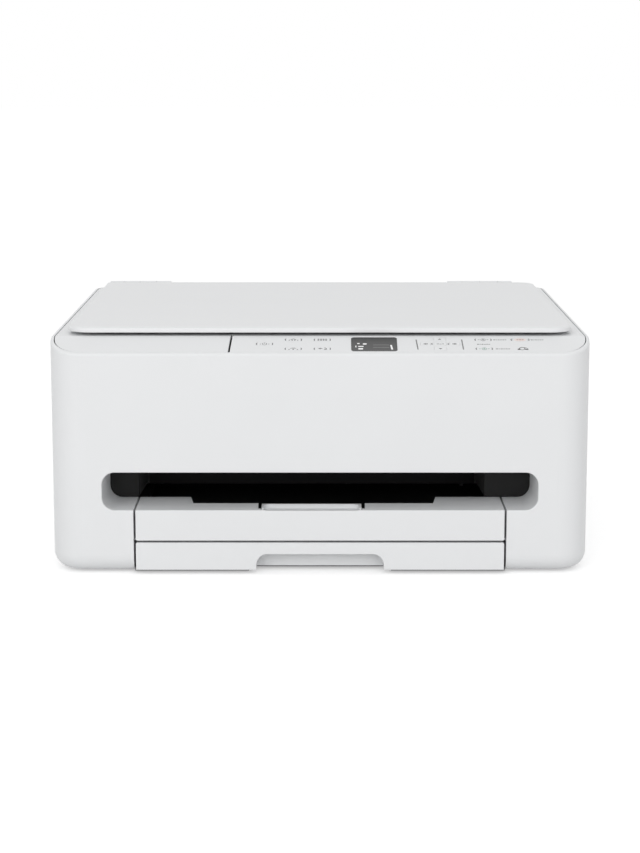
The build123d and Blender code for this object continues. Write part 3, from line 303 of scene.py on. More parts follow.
def windowFinish(look):
    finish = Finish("screenWindow")
    place = finish.place()
    along = finish.axes(place)[1]
    fade = (along - look["front"] * mm) * (1 / (look["deep"] * mm))
    cloud = finish.noise(place, look["cloud"], 3.0)
    return finish.surface({
        "Base Color": finish.greys(fade, look["tones"]),
        "Roughness": cloud.about(*look["rough"]),
        "Coat Weight": look["coat"] + cloud * look["coatDrift"],
        "Coat Roughness": look["coatRough"],
        "Specular IOR Level": look["shine"],
    })


dress(windowFinish(windowLook), "display_window")


# steel: brushed along x, the motors along y, with zinc blotches; below 50 mm the frame is painted shade,
# black and not metal, where it shows in the dark throat
steelLooks = {
    "frameSteel": {"tones": (156, 178), "rough": 0.36, "blotch": 9.0, "stretch": (0.15, 1, 1),
                   "shadeBelow": 50.0},
    "rodSteel": {"tones": (183, 205), "rough": 0.16, "blotch": 3.0, "stretch": (0.05, 1, 1),
                 "shadeBelow": 0.0},
    "motorSteel": {"tones": (138, 160), "rough": 0.32, "blotch": 5.0, "stretch": (1, 0.15, 1),
                   "shadeBelow": 0.0},
}
brushLook = {"lines": 0.5, "cool": 0.01, "shadeTone": 16, "roughByLines": 0.16, "roughByBlotch": 0.10,
             "bump": (0.25, 0.02)}


def brushedSteel(name):
    look = steelLooks[name]
    finish = Finish(name)
    place = finish.place()
    lines = finish.noise(finish.stretched(place, look["stretch"]), brushLook["lines"], 3.0)
    blotch = finish.noise(place, look["blotch"], 3.0)
    # painted shade: below this height the frame is black and not metal
    aboveShade = finish.axes(place)[2].above(look["shadeBelow"] * mm)
    steel = finish.greys(blotch, look["tones"], brushLook["cool"])
    rough = lines.about(look["rough"], brushLook["roughByLines"])
    return finish.surface({
        "Base Color": finish.colours(aboveShade, grey(brushLook["shadeTone"]), steel),
        "Metallic": aboveShade,
        "Roughness": blotch.about(rough, brushLook["roughByBlotch"]),
        "Normal": finish.bump(lines, *brushLook["bump"]),
    })


dress(brushedSteel("frameSteel"), "print_frame")
dress(brushedSteel("rodSteel"), "scan_rail")
dress(brushedSteel("motorSteel"), "drive_motors")


# rollers: steel shaft, ground rubber where the radius is larger, a grey pulley at the left end
rollerLooks = {
    "feed_roller": {"axis": (24.0, 63.5), "shaft": 4.4, "rubber": 5.2, "tones": (50, 70)},
    "exit_roller": {"axis": (-58.0, 63.0), "shaft": 3.4, "rubber": 5.6, "tones": (36, 56)},
    "pickup_roller": {"axis": (105.0, 31.0), "shaft": 2.4, "rubber": 8.2, "tones": (62, 82)},
}
shaftLook = {"steel": 190, "cool": 0.01, "pulley": 150, "pulleyBelowX": -150, "stone": 0.5,
             "rough": (0.22, 0.12), "rubberRough": 0.50, "bump": (0.5, 0.06)}


def rollerFinish(name):
    look = rollerLooks[name]
    finish = Finish(name + "Finish")
    place = finish.place()
    across, along, up = finish.axes(place)
    aside = along - look["axis"][0] * mm
    rise = up - look["axis"][1] * mm
    radius = (aside * aside + rise * rise).root()
    coated = radius.above(look["shaft"] * mm)
    pulley = radius.above(look["rubber"] * mm) * across.below(shaftLook["pulleyBelowX"] * mm)
    stone = finish.noise(place, shaftLook["stone"], 4.0)
    rubber = finish.greys(stone, look["tones"])
    moulded = finish.colours(pulley, rubber, grey(shaftLook["pulley"]))
    return finish.surface({
        "Base Color": finish.colours(coated, grey(shaftLook["steel"], shaftLook["cool"]), moulded),
        "Metallic": 1 - coated,
        "Roughness": stone.about(*shaftLook["rough"]) + coated * shaftLook["rubberRough"],
        "Normal": finish.bump(stone * coated, *shaftLook["bump"]),
    })


for rollerName in rollerLooks:
    dress(rollerFinish(rollerName), rollerName)


# soft black rubber under the feet
footLook = {"tones": (40, 54), "speck": 0.4, "rough": (0.75, 0.2), "bump": (0.5, 0.05)}


def footFinish(look):
    finish = Finish("footRubber")
    speck = finish.noise(finish.place(), look["speck"], 3.0)
    return finish.surface({
        "Base Color": finish.greys(speck, look["tones"]),
        "Roughness": speck.about(*look["rough"]),
        "Normal": finish.bump(speck, *look["bump"]),
    })


dress(footFinish(footLook), "rubber_feet")


# scan head: black bar with a milky light guide along its top
scanHeadLook = {"guideX": (-161.6, -154.4), "guideZ": (154.2, 156.0), "rodPitch": 1.2,
                "milk": (200, 225), "black": (22, 30), "grain": 0.6, "guideGloss": 0.25,
                "rough": (0.5, 0.1), "bump": (0.4, 0.03)}


def scanHeadFinish(look):
    finish = Finish("scanHead")
    place = finish.place()
    across, along, up = finish.axes(place)
    lens = across.between(*metres(look["guideX"])) * up.between(*metres(look["guideZ"]))
    rods = (along * (math.tau / (look["rodPitch"] * mm))).wave() * 0.5 + 0.5
    grain = finish.noise(place, look["grain"], 3.0)
    black = finish.greys(grain, look["black"])
    milk = finish.greys(rods, look["milk"])
    return finish.surface({
        "Base Color": finish.colours(lens, black, milk),
        "Roughness": grain.about(*look["rough"]) - lens * look["guideGloss"],
        "Normal": finish.bump(grain, *look["bump"]),
    })


dress(scanHeadFinish(scanHeadLook), "scan_head")


# supply box: black case, two bright pins in the inlet
supplyLook = {"tones": (22, 30), "grain": 0.7, "rough": (0.55, 0.08), "bump": (0.4, 0.03), "pinTone": 205,
              "pinCool": 0.005, "pinGloss": 0.33, "pinMiddle": -153.0, "pinReach": 4.2, "pinZ": 32.0,
              "pinRadius": 1.5, "pinFrom": 158.0}


def supplyFinish(look):
    finish = Finish("supplyCase")
    place = finish.place()
    across, along, up = finish.axes(place)
    aside = (across - look["pinMiddle"] * mm).size() - look["pinReach"] * mm
    rise = up - look["pinZ"] * mm
    far = (aside * aside + rise * rise).root()
    pin = along.above(look["pinFrom"] * mm) * far.below(look["pinRadius"] * mm)
    grain = finish.noise(place, look["grain"], 3.0)
    black = finish.greys(grain, look["tones"])
    return finish.surface({
        "Base Color": finish.colours(pin, black, grey(look["pinTone"], look["pinCool"])),
        "Metallic": pin,
        "Roughness": grain.about(*look["rough"]) - pin * look["pinGloss"],
        "Normal": finish.bump(grain, *look["bump"]),
    })


dress(supplyFinish(supplyLook), "power_unit")


# circuit board: green mask with copper runs, dark chips where it is thick, a metal socket
boardLook = {"mask": (0.012, 0.09, 0.035), "copper": (0.03, 0.17, 0.06), "board": (165.4, 168.0),
             "pitch": 2.2, "bend": 90, "bendReach": 2, "runEdge": 0.55, "land": 4, "landEdge": 0.42,
             "chip": 34, "socket": 190, "socketFrom": 158, "socketZ": (39, 52), "rough": 0.34,
             "runRough": 0.08, "bump": (0.3, 0.04)}


def boardFinish(look):
    finish = Finish("circuitBoard")
    place = finish.place()
    across, along, up = finish.axes(place)
    flat = across.between(*metres(look["board"]))
    bend = (along * look["bend"]).wave() * look["bendReach"]
    runs = (up * (math.tau / (look["pitch"] * mm)) + bend).wave().above(look["runEdge"])
    lands = finish.cells(place, look["land"]).below(look["landEdge"])
    mask = finish.colours(runs.either(lands), look["mask"], look["copper"])
    socket = along.above(look["socketFrom"] * mm) * up.between(*metres(look["socketZ"])) * (1 - flat)
    parts = finish.greys(socket, (look["chip"], look["socket"]))
    return finish.surface({
        "Base Color": finish.colours(flat, parts, mask),
        "Metallic": socket,
        "Roughness": look["rough"] + runs * look["runRough"],
        "Normal": finish.bump(runs, *look["bump"]),
    })


dress(boardFinish(boardLook), "main_board")
print("node finishes done")


# mesh helpers; their measures are millimetres, turned into metres by upright and onStrip
def newPiece(name, mesh, body, finish, smooth=None):
    data = bpy.data.meshes.new(name)
    mesh.to_mesh(data)
    mesh.free()
    piece = bpy.data.objects.new(name, data)
    bpy.context.scene.collection.objects.link(piece)
    data.materials.append(finish)
    if smooth is not None:
        data.shade_smooth()
        data.set_sharp_from_angle(angle=math.radians(smooth))
    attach(piece, body)
    return piece


def upright(x, y, z):
    return Vector((x, y, z)) * mm


def ringOutline(halfX, halfY, corner, steps=8):
    # a rounded rectangle round the origin, counter-clockwise
    corner = max(min(corner, halfX, halfY), 0.01)
    points = []
    for quarter in range(4):
        middleX = (halfX - corner) * (1 if quarter in (0, 3) else -1)
        middleY = (halfY - corner) * (1 if quarter in (0, 1) else -1)
        for step in range(steps + 1):
            turn = math.radians(90 * quarter + 90 * step / steps)
            points.append((middleX + corner * math.cos(turn), middleY + corner * math.sin(turn)))
    return points


def stitch(mesh, lower, upper):
    # a closed band of faces between two loops of vertices
    for index in range(len(lower)):
        following = (index + 1) % len(lower)
        mesh.faces.new((lower[index], lower[following], upper[following], upper[index]))


def slab(mesh, centre, half, corner, rings):
    # a slab with a shaped edge: each ring is (inset, height) from the bottom up
    loops = []
    for inset, height in rings:
        outline = ringOutline(half[0] - inset, half[1] - inset, corner - inset)
        loops.append([mesh.verts.new(upright(centre[0] + x, centre[1] + y, height)) for x, y in outline])
    for lower, upper in zip(loops, loops[1:]):
        stitch(mesh, lower, upper)
    mesh.faces.new(list(reversed(loops[0])))
    mesh.faces.new(loops[-1])


def printedShapes(outlines, toWorld, low, thick):
    # thin printed shapes, each outline raised from low by its thickness
    mesh = bmesh.new()
    for outline in outlines:
        floor = [mesh.verts.new(toWorld(x, y, low)) for x, y in outline]
        roof = [mesh.verts.new(toWorld(x, y, low + thick)) for x, y in outline]
        mesh.faces.new(floor)
        mesh.faces.new(roof)
        stitch(mesh, floor, roof)
    bmesh.ops.triangulate(mesh, faces=[face for face in mesh.faces if len(face.verts) > 4])
    bmesh.ops.recalc_face_normals(mesh, faces=mesh.faces)
    return mesh


# lid pad: soft white foam sheet, pressed a little thinner round its edge, with firm rests
padLook = {
    "half": (151.0, 110.0), "corner": 5.0, "low": 165.75, "high": 168.25,
    "edge": [(9.0, 0), (5.0, 0.12), (3.0, 0.25), (1.4, 0.5), (0.4, 0.9), (0, 1.4)],  # inset, rise
    "rests": [(-160.0, -124.0), (160.0, -124.0), (-160.0, 129.0), (160.0, 129.0)],
    "restHalf": (6.0, 3.0), "restCorner": 1.8, "restEdge": [(0.9, 0.15), (0.3, 0.35), (0, 0.85)],
    "tones": (232, 240), "cell": 0.8, "cloud": 18, "rough": (0.85, 0.1), "sheen": 0.15, "bump": (0.35, 0.08),
    "fill": 0.9,
}


def foamFinish(look):
    finish = Finish("lidFoam")
    place = finish.place()
    cells = finish.cells(place, look["cell"])
    cloud = finish.noise(place, look["cloud"])
    return finish.surface({
        "Base Color": finish.greys(cloud, look["tones"]),
        "Roughness": cloud.about(*look["rough"]),
        "Sheen Weight": look["sheen"],
        "Normal": finish.bump(cells, *look["bump"]),
    })


def lidPad(look):
    mesh = bmesh.new()
    rings = [(inset, look["low"] + rise) for inset, rise in look["edge"]] + [(0, look["high"])]
    slab(mesh, (0, 0), look["half"], look["corner"], rings)
    rings = [(inset, look["low"] + rise) for inset, rise in look["restEdge"]] + [(0, look["high"])]
    for centre in look["rests"]:
        slab(mesh, centre, look["restHalf"], look["restCorner"], rings)
    pad = newPiece("lid_foam_pad", mesh, "lid", foamFinish(look), 40)
    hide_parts("lid_pad")


lidPad(padLook)


# toothed belts: closed loops round two wheels, teeth on the inside
beltLooks = {
    "carriage_belt": {"first": (-160.0, 96.0), "second": (160.0, 96.0), "inner": 6.35, "outer": 7.4,
                      "side": (40.0, 43.0), "pitch": 2.0, "tooth": 0.45, "alongX": True},
    "feed_belt": {"first": (-58.0, 63.0), "second": (24.0, 63.5), "inner": 9.35, "outer": 10.4,
                  "side": (-171.9, -168.9), "pitch": 2.0, "tooth": 0.45, "alongX": False},
}
rubberLook = {"tones": (26, 38), "cord": 0.3, "rough": (0.68, 0.15), "bump": (0.5, 0.03)}


def beltFinish(look):
    finish = Finish("beltRubber")
    cord = finish.noise(finish.place(), look["cord"], 3.0)
    return finish.surface({
        "Base Color": finish.greys(cord, look["tones"]),
        "Roughness": cord.about(*look["rough"]),
        "Normal": finish.bump(cord, *look["bump"]),
    })


def stadium(first, second, radius, steps):
    # points round two wheels, evenly spaced along the loop
    reach = (Vector(second) - Vector(first)).length
    turn = math.atan2(second[1] - first[1], second[0] - first[0])
    length = 2 * reach + math.tau * radius
    points = []
    for step in range(steps):
        way = length * step / steps
        if way < reach:
            local = (way, -radius)
        elif way < reach + math.pi * radius:
            angle = (way - reach) / radius - math.pi / 2
            local = (reach + radius * math.cos(angle), radius * math.sin(angle))
        elif way < 2 * reach + math.pi * radius:
            local = (reach - (way - reach - math.pi * radius), radius)
        else:
            angle = (way - 2 * reach - math.pi * radius) / radius + math.pi / 2
            local = (radius * math.cos(angle), radius * math.sin(angle))
        points.append((first[0] + local[0] * math.cos(turn) - local[1] * math.sin(turn),
                       first[1] + local[0] * math.sin(turn) + local[1] * math.cos(turn)))
    return points


def toothedBelt(name, look, finish):
    mesh = bmesh.new()
    middle = (look["inner"] + look["outer"]) / 2
    reach = (Vector(look["second"]) - Vector(look["first"])).length
    teeth = round((2 * reach + math.tau * middle) / look["pitch"])
    steps = teeth * 4  # two points on each tooth, two in the gap
    outer, tips, roots = [stadium(look["first"], look["second"], radius, steps)
                          for radius in (look["outer"], look["inner"], look["inner"] + look["tooth"])]
    sections = []
    for step in range(steps):
        inner = tips[step] if step % 4 in (0, 1) else roots[step]
        section = []
        for point, side in ((outer[step], 0), (outer[step], 1), (inner, 1), (inner, 0)):
            depth = look["side"][side]
            corner = (point[0], depth, point[1]) if look["alongX"] else (depth, point[0], point[1])
            section.append(mesh.verts.new(upright(*corner)))
        sections.append(section)
    for step in range(steps):
        stitch(mesh, sections[step], sections[(step + 1) % steps])
    bmesh.ops.recalc_face_normals(mesh, faces=mesh.faces)
    belt = newPiece(name + "_toothed", mesh, "base", finish, 30)
    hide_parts(name)


beltRubber = beltFinish(rubberLook)
for beltName, beltLook in beltLooks.items():
    toothedBelt(beltName, beltLook, beltRubber)
print("lid pad and belts done")


# printing ink: a flat tone broken up by a fine speckle
inkLook = {"speck": 0.15, "lighter": 0.03, "rough": (0.5, 0.1)}


def inkFinish(name, colour):
    finish = Finish(name)
    speck = finish.noise(finish.place(), inkLook["speck"])
    return finish.surface({
        "Base Color": finish.colours(speck, colour, [level + inkLook["lighter"] for level in colour]),
        "Roughness": speck.about(*inkLook["rough"]),
    })


# plain labels on the two ink tanks: one grey, one in three stripes of ink colour
labelStripes = {
    "black_cartridge": [grey(150), grey(90), grey(60)],
    "colour_cartridge": [(0.02, 0.36, 0.62), (0.60, 0.05, 0.22), (0.80, 0.60, 0.04)],
}
labelLook = {"half": (9.4, 9.4), "fromBack": 42.4, "corner": 1.4, "stripe": 6.2, "paper": 235, "faded": 0.25,
             "fibre": 0.4, "rough": (0.38, 0.1), "bump": (0.2, 0.02),
             "edge": [(0, 0), (0, 0.072), (0.08, 0.12)]}  # inset, rise


def labelFinish(name, stripes, middle):
    finish = Finish(name)
    place = finish.place()
    across = finish.axes(place)[0]
    fibre = finish.noise(place, labelLook["fibre"], 3.0)
    second, third = [across.above((middle + side * labelLook["stripe"] / 2) * mm) for side in (-1, 1)]
    colour = finish.colours(third, finish.colours(second, stripes[0], stripes[1]), stripes[2])
    return finish.surface({
        "Base Color": finish.colours(fibre * labelLook["faded"], colour, grey(labelLook["paper"])),
        "Roughness": fibre.about(*labelLook["rough"]),
        "Normal": finish.bump(fibre, *labelLook["bump"]),
    })


def tankLabel(name, stripes):
    low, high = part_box(name)
    middle = (low[0] + high[0]) / 2 / mm
    back = high[1] / mm - labelLook["fromBack"]
    top = high[2] / mm
    mesh = bmesh.new()
    rings = [(inset, top + rise) for inset, rise in labelLook["edge"]]
    slab(mesh, (middle, back), labelLook["half"], labelLook["corner"], rings)
    finish = labelFinish(name + "Label", stripes, middle)
    newPiece(name + "_label", mesh, "carriage", finish, 40)


for tankName, tankStripes in labelStripes.items():
    tankLabel(tankName, tankStripes)


# ticks printed on the frame beside the glass, and the corner arrow a sheet is laid against
tickLook = {"away": 0.7, "step": 10, "longStep": 50, "long": 2.4, "short": 1.4, "width": 0.3,
            "reach": {"front": 150, "right": 110}, "arrow": 2.6, "top": 165.91, "thick": 0.04, "tone": 214}


def glassTicks(look):
    right = glassHalf[0] + look["away"]
    front = -glassHalf[1] - look["away"]
    half = look["width"] / 2
    outlines = [[(right, front), (right + look["arrow"], front), (right, front - look["arrow"])]]
    for edge, reach in look["reach"].items():
        for place in range(-reach, reach + 1, look["step"]):
            deep = look["short"] if place % look["longStep"] else look["long"]
            x, y = (place - half, place + half), (front - deep, front)
            if edge == "right":
                x, y = (right, right + deep), x
            outlines.append([(x[0], y[0]), (x[1], y[0]), (x[1], y[1]), (x[0], y[1])])
    mesh = printedShapes(outlines, upright, look["top"], look["thick"])
    newPiece("glass_ticks", mesh, "scanner_unit", inkFinish("inkWhite", grey(look["tone"])))


glassTicks(tickLook)
print("tank labels and glass ticks done")


# marks printed on the sloped strip, in strip millimetres: x across, down the slope
strip = {"ridge": (-147.5, 165.9), "fall": math.atan2(9.2, 25.0), "lift": 0.01, "thick": 0.05}


def onStrip(x, down, lift):
    fall = strip["fall"]
    y = strip["ridge"][0] - down * math.cos(fall) - lift * math.sin(fall)
    z = strip["ridge"][1] - down * math.sin(fall) + lift * math.cos(fall)
    return upright(x, y, z)


def printMark(name, outlines, body, finish, lift=strip["lift"]):
    newPiece(name, printedShapes(outlines, onStrip, lift, strip["thick"]), body, finish)


def arcStroke(x, down, radius, start, stop, width, steps=10):
    # a curved stroke; 0 degrees points right and 90 up the strip
    outside, inside = [], []
    for step in range(steps + 1):
        turn = math.radians(start + (stop - start) * step / steps)
        for line, reach in ((outside, radius + width / 2), (inside, radius - width / 2)):
            line.append((x + reach * math.cos(turn), down - reach * math.sin(turn)))
    return outside + inside[::-1]


def ring(x, down, radius, width):
    return [arcStroke(x, down, radius, 0, 180, width), arcStroke(x, down, radius, 180, 360, width)]


def lineStroke(start, end, width):
    run = Vector(end) - Vector(start)
    aside = Vector((-run.y, run.x)).normalized() * width / 2
    corners = (Vector(start) + aside, Vector(start) - aside, Vector(end) - aside, Vector(end) + aside)
    return [tuple(corner) for corner in corners]


def bar(x, down, width, height):
    corner = min(height, width) * 0.3
    return [(x + a, down + b) for a, b in ringOutline(width / 2, height / 2, corner, 3)]


def barPair(x, down, reach, width, height):
    return [bar(x - reach, down, width, height), bar(x + reach, down, width, height)]


def oval(x, down, halfX, halfY, steps):
    turns = [math.tau * step / steps for step in range(steps)]
    return [(x + halfX * math.cos(turn), down + halfY * math.sin(turn)) for turn in turns]


# the signs, drawn round the key's centre x, d; stroke is the width of their thin lines
stroke = 0.4


def powerSign(x, d):
    hoop = arcStroke(x, d, 1.5, 120, 420, stroke, 16)
    return [hoop, lineStroke((x, d - 2.0), (x, d - 0.4), stroke)] + barPair(x, d + 0.2, 2.9, 1.2, 0.5)


def houseSign(x, d):
    roof = [(x - 2.1, d - 0.1), (x, d - 1.7), (x + 2.1, d - 0.1), (x + 1.7, d + 0.2), (x, d - 1.1),
            (x - 1.7, d + 0.2)]
    return [roof] + barPair(x, d + 0.7, 0.9, 0.8, 1.2) + barPair(x, d + 0.6, 2.9, 1.1, 0.7)


def listSign(x, d):
    return [bar(x + across, d + down, 1.3, 1.0) for across in (-2.7, -0.9, 0.9, 2.7) for down in (-0.8, 0.7)]


def signalSign(x, d):
    arcs = [arcStroke(x, d + 1.3, 2.6, 40, 140, stroke), arcStroke(x, d + 1.3, 1.5, 50, 130, stroke)]
    return arcs + [oval(x, d + 0.9, 0.55, 0.55, 18)] + barPair(x, d + 0.9, 2.9, 1.1, 0.7)


def backSign(x, d):
    head = [(x - 2.9, d - 0.4), (x - 1.2, d - 1.6), (x - 1.2, d + 0.8)]
    hook = arcStroke(x + 1.6, d - 0.1, 1.2, -110, 110, 0.6)
    return [head, bar(x - 0.6, d - 0.4, 1.4, 0.7), hook, bar(x + 2.2, d + 0.9, 1.8, 0.6)]


def risingSign(x, d, way):
    return [[(x - 1.3, d + 0.8 * way), (x, d - 0.8 * way), (x + 1.3, d + 0.8 * way)]]


def sidewaysSign(x, d, way):
    head = [(x + 1.7 * way, d), (x - 0.2 * way, d - 1.1), (x - 0.2 * way, d + 1.1)]
    return [head, bar(x - 0.9 * way, d, 1.6, 1.0)]


def okSign(x, d):
    return [bar(x - 1.6, d, 1.7, 0.8), bar(x + 0.3, d + 0.2, 1.5, 0.6), bar(x + 2.0, d, 1.3, 0.8)]


def startSign(x, d):
    diamond = [(x - 0.8, d), (x, d - 0.8), (x + 0.8, d), (x, d + 0.8)]
    return ring(x, d, 1.6, 0.36) + [diamond] + barPair(x, d, 3.1, 1.4, 0.5)


def stopSign(x, d):
    return [oval(x, d, 4.4, 2.2, 24)]


def lampSign(x, d):
    hood = arcStroke(x + 0.6, d + 2.8, 4.4, 42, 132, 0.5)
    return ring(x, d, 1.8, 0.5) + [hood, bar(x - 2.4, d + 1.0, 1.8, 1.6), bar(x + 3.0, d + 1.1, 2.4, 1.3)]


inkGrey = inkFinish("inkGrey", grey(118))
inkPale = inkFinish("inkPale", grey(140))
inkPink = inkFinish("inkPink", (0.84, 0.74, 0.71))
inkRed = inkFinish("inkRed", (0.46, 0.33, 0.31))
inkGreen = inkFinish("inkGreen", (0.22, 0.36, 0.30))

# each key's sign and ink; at is its x, its way down the strip and, for an arrow, where it points
keyMarks = {
    "power_key": {"at": (-38.7, 11.8), "ink": inkGrey, "sign": powerSign},
    "function_key_1": {"at": (-18.6, 5.6), "ink": inkGrey, "sign": houseSign},
    "function_key_2": {"at": (1.6, 5.6), "ink": inkGrey, "sign": listSign},
    "function_key_3": {"at": (-18.6, 19.0), "ink": inkGrey, "sign": signalSign},
    "function_key_4": {"at": (1.6, 19.0), "ink": inkGrey, "sign": backSign},
    "up_key": {"at": (83.8, 4.6, 1), "ink": inkGrey, "sign": risingSign},
    "down_key": {"at": (83.8, 19.0, -1), "ink": inkGrey, "sign": risingSign},
    "left_key": {"at": (73.6, 11.8, -1), "ink": inkGrey, "sign": sidewaysSign},
    "right_key": {"at": (94.0, 11.8, 1), "ink": inkGrey, "sign": sidewaysSign},
    "ok_key": {"at": (83.8, 11.8), "ink": inkPale, "sign": okSign},
    "start_key_1": {"at": (114.2, 5.6), "ink": inkGrey, "sign": startSign},
    "start_key_2": {"at": (114.2, 19.0), "ink": inkGreen, "sign": startSign},
    "stop_key": {"at": (140.1, 5.6), "ink": inkPink, "sign": stopSign},
}
for keyName, mark in keyMarks.items():
    printMark(keyName + "_mark", mark["sign"](*mark["at"]), keyName, mark["ink"])

# what is printed on the panel itself: brackets round the keys, two rules, dashes where words would be
panelPrint = {
    # x, down, reach
    "brackets": [(-38.7, 11.8, 5.7), (-18.6, 5.6, 5.7), (-18.6, 19.0, 5.7), (1.6, 5.6, 5.7), (1.6, 19.0, 5.7),
                 (83.8, 11.8, 5.8), (114.2, 5.6, 5.7), (114.2, 19.0, 5.7), (140.1, 5.6, 6.3)],
    "bracketBow": 2.4, "bracketSweep": 34, "bracketWidth": 0.62,
    "rules": [(67.3, 68.1), (99.2, 99.7)], "ruleDown": (5.4, 20.0), "ruleWidth": 0.8,
    # x, down, width
    "words": [(126.2, 5.8, 9.8), (114.4, 12.4, 9.8), (127.5, 19.2, 10.6), (152.3, 5.8, 9.6)],
    "dashes": 6, "dashLong": (0.15, 0.10, 0.13), "dashTall": (1.05, 0.75), "dashGap": 0.035,
    "stopDashes": [(138.3, 5.6, 1.4, 0.9), (140.1, 5.6, 1.4, 0.9), (141.9, 5.6, 1.4, 0.9)], "stopLift": 0.07,
    "lamp": (140.6, 18.8), "lampTone": 84,
}


def wordDashes(look):
    dashes = []
    for x, down, width in look["words"]:
        place = x - width / 2
        for index in range(look["dashes"]):
            long, tall = look["dashLong"][index % 3] * width, look["dashTall"][index % 2]
            dashes.append(bar(place + long / 2, down, long, tall))
            place += long + width * look["dashGap"]
    return dashes


def panelMarks(look):
    brackets = []
    bow, sweep, width = look["bracketBow"], look["bracketSweep"], look["bracketWidth"]
    for x, down, reach in look["brackets"]:
        brackets.append(arcStroke(x - reach + bow, down, bow, 180 - sweep, 180 + sweep, width))
        brackets.append(arcStroke(x + reach - bow, down, bow, -sweep, sweep, width))
    printMark("panel_brackets", brackets, "scanner_unit", inkGrey)
    high, low = look["ruleDown"]
    rules = [lineStroke((top, high), (foot, low), look["ruleWidth"]) for top, foot in look["rules"]]
    printMark("panel_rules", rules, "scanner_unit", inkGrey)
    printMark("panel_word_dashes", wordDashes(look), "scanner_unit", inkPale)
    stopDashes = [bar(*dash) for dash in look["stopDashes"]]
    printMark("stop_key_dashes", stopDashes, "stop_key", inkRed, lift=look["stopLift"])
    inkDark = inkFinish("inkDark", grey(look["lampTone"]))
    printMark("panel_lamp_mark", lampSign(*look["lamp"]), "scanner_unit", inkDark)


panelMarks(panelPrint)

# lit marks on the screen: a short menu of plain bars, nothing readable
screenMarks = {
    "left": [(26.8, 11.2, 1.8, 1.3), (31.2, 11.8, 2.7, 1.9), (25.0, 15.6, 0.7, 2.6), (28.5, 15.5, 3.8, 1.3),
             (28.3, 19.0, 3.4, 1.9)],
    "rules": [(42.6, 13.3, 11.2, 1.1), (42.6, 16.9, 11.4, 1.1)],
    "cursor": ((49.5, 13.4), (50.2, 20.0), 1.2),
    "lift": -0.03, "lit": (225, 0.35), "dim": (116, 0.1),  # tone and glow
}
litLook = {"speck": 0.3, "darker": 10, "dimmer": 30, "rough": 0.5}


def litFinish(name, tone, glow):
    finish = Finish(name)
    speck = finish.noise(finish.place(), litLook["speck"])
    return finish.surface({
        "Base Color": finish.greys(speck, (tone - litLook["darker"], tone)),
        "Roughness": litLook["rough"],
        "Emission Color": finish.greys(speck, (tone - litLook["dimmer"], tone)),
        "Emission Strength": glow,
    })


def screenMenu(look):
    lit, dim = litFinish("screenLit", *look["lit"]), litFinish("screenDim", *look["dim"])
    bars = [bar(*mark) for mark in look["left"]] + [lineStroke(*look["cursor"])]
    rules = [bar(*mark) for mark in look["rules"]]
    printMark("screen_marks", bars, "scanner_unit", lit, look["lift"])
    printMark("screen_rules", rules, "scanner_unit", dim, look["lift"])


screenMenu(screenMarks)
print("strip marks done")


# camera at the photograph's height and tilt, in metres, degrees and millimetres of lens
camera = {"place": (0, -1.6464, 0.36415), "tilt": 9.943, "lens": 90.74, "sensor": 36.0}


def makeCamera(look):
    data = bpy.data.cameras.new("studio_camera")
    data.lens = look["lens"]
    data.sensor_width = look["sensor"]
    holder = bpy.data.objects.new("studio_camera", data)
    holder.location = look["place"]
    holder.rotation_euler = (math.radians(90 - look["tilt"]), 0, 0)
    bpy.context.scene.collection.objects.link(holder)
    bpy.context.scene.camera = holder


makeCamera(camera)

# pale paper floor; its lift is the glow that makes it white for the camera and in reflections
floorLook = {"half": 12.0, "tone": 0.80, "fibreTone": 1.01, "fibre": 3, "lift": 0.43}


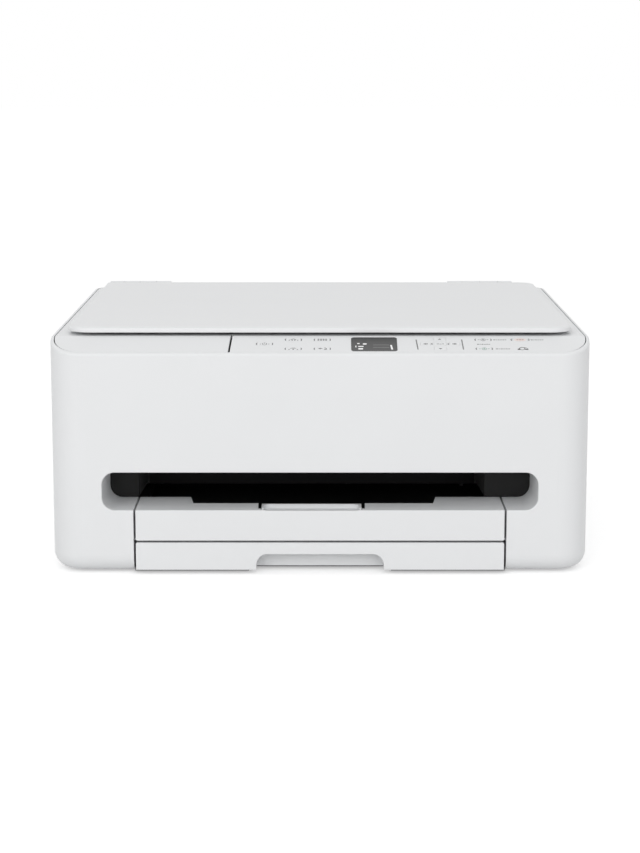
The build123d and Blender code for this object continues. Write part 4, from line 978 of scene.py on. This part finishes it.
def makeFloor(look):
    mesh = bmesh.new()
    half = look["half"]
    sides = ((-half, -half), (half, -half), (half, half), (-half, half))
    mesh.faces.new([mesh.verts.new((x, y, 0)) for x, y in sides])
    data = bpy.data.meshes.new("studio_floor")
    mesh.to_mesh(data)
    mesh.free()
    floor = bpy.data.objects.new("studio_floor", data)
    bpy.context.scene.collection.objects.link(floor)
    finish = Finish("floorPaper")
    fibre = finish.noise(finish.place(), look["fibre"], 3.0)
    tones = [[look["tone"]] * 3, [look["tone"] * look["fibreTone"]] * 3]
    paper = finish.node("BsdfDiffuse", None, {"Color": finish.colours(fibre, *tones)})
    glossy = finish.node("LightPath", out="Is Glossy Ray")
    seen = finish.node("LightPath", out="Is Camera Ray").either(glossy)
    lift = finish.node("Emission", None, {"Color": (1, 1, 1, 1), "Strength": seen * look["lift"]})
    both = finish.node("AddShader", None, {0: paper, 1: lift})
    finish.node("OutputMaterial", None, {"Surface": both})
    data.materials.append(finish.owner)


makeFloor(floorLook)

# soft even room, dimmer from the sides, white behind the object; one wide lamp in front
studio = {
    "world": 0.87, "sideFall": 0.65, "aim": (0, 0, 0.09),
    "lamp": {"name": "front_lamp", "at": (-0.45, -2.5, 1.20), "size": (3.4, 1.1), "watts": 22.5},
}


def makeWorld(look):
    world = bpy.data.worlds.new("studio_world")
    bpy.context.scene.world = world
    finish = Finish("studio_world", world)
    sideways = finish.axes(finish.node("TexCoord", out="Generated"))[0]
    fall = 1 - sideways * sideways * look["sideFall"]
    soft = finish.node("Background", None, {"Color": (1, 1, 1, 1), "Strength": fall * look["world"]})
    white = finish.node("Background", None, {"Color": (1, 1, 1, 1), "Strength": 1.0})
    seen = finish.node("LightPath", out="Is Camera Ray")
    for other in ("Is Glossy Ray", "Is Transmission Ray"):
        seen = seen.either(finish.node("LightPath", out=other))
    mixed = finish.node("MixShader", None, {0: seen, 1: soft, 2: white})
    finish.node("OutputWorld", None, {"Surface": mixed})


def makeLamp(look, aim):
    data = bpy.data.lights.new(look["name"], "AREA")
    data.shape = "RECTANGLE"
    data.size, data.size_y = look["size"]
    data.energy = look["watts"]
    holder = bpy.data.objects.new(look["name"], data)
    holder.location = look["at"]
    holder.rotation_euler = (Vector(aim) - holder.location).to_track_quat("-Z", "Y").to_euler()
    bpy.context.scene.collection.objects.link(holder)


makeWorld(studio)
makeLamp(studio["lamp"], studio["aim"])
bpy.context.scene.view_settings.view_transform = "Standard"
print("camera, floor and light done")
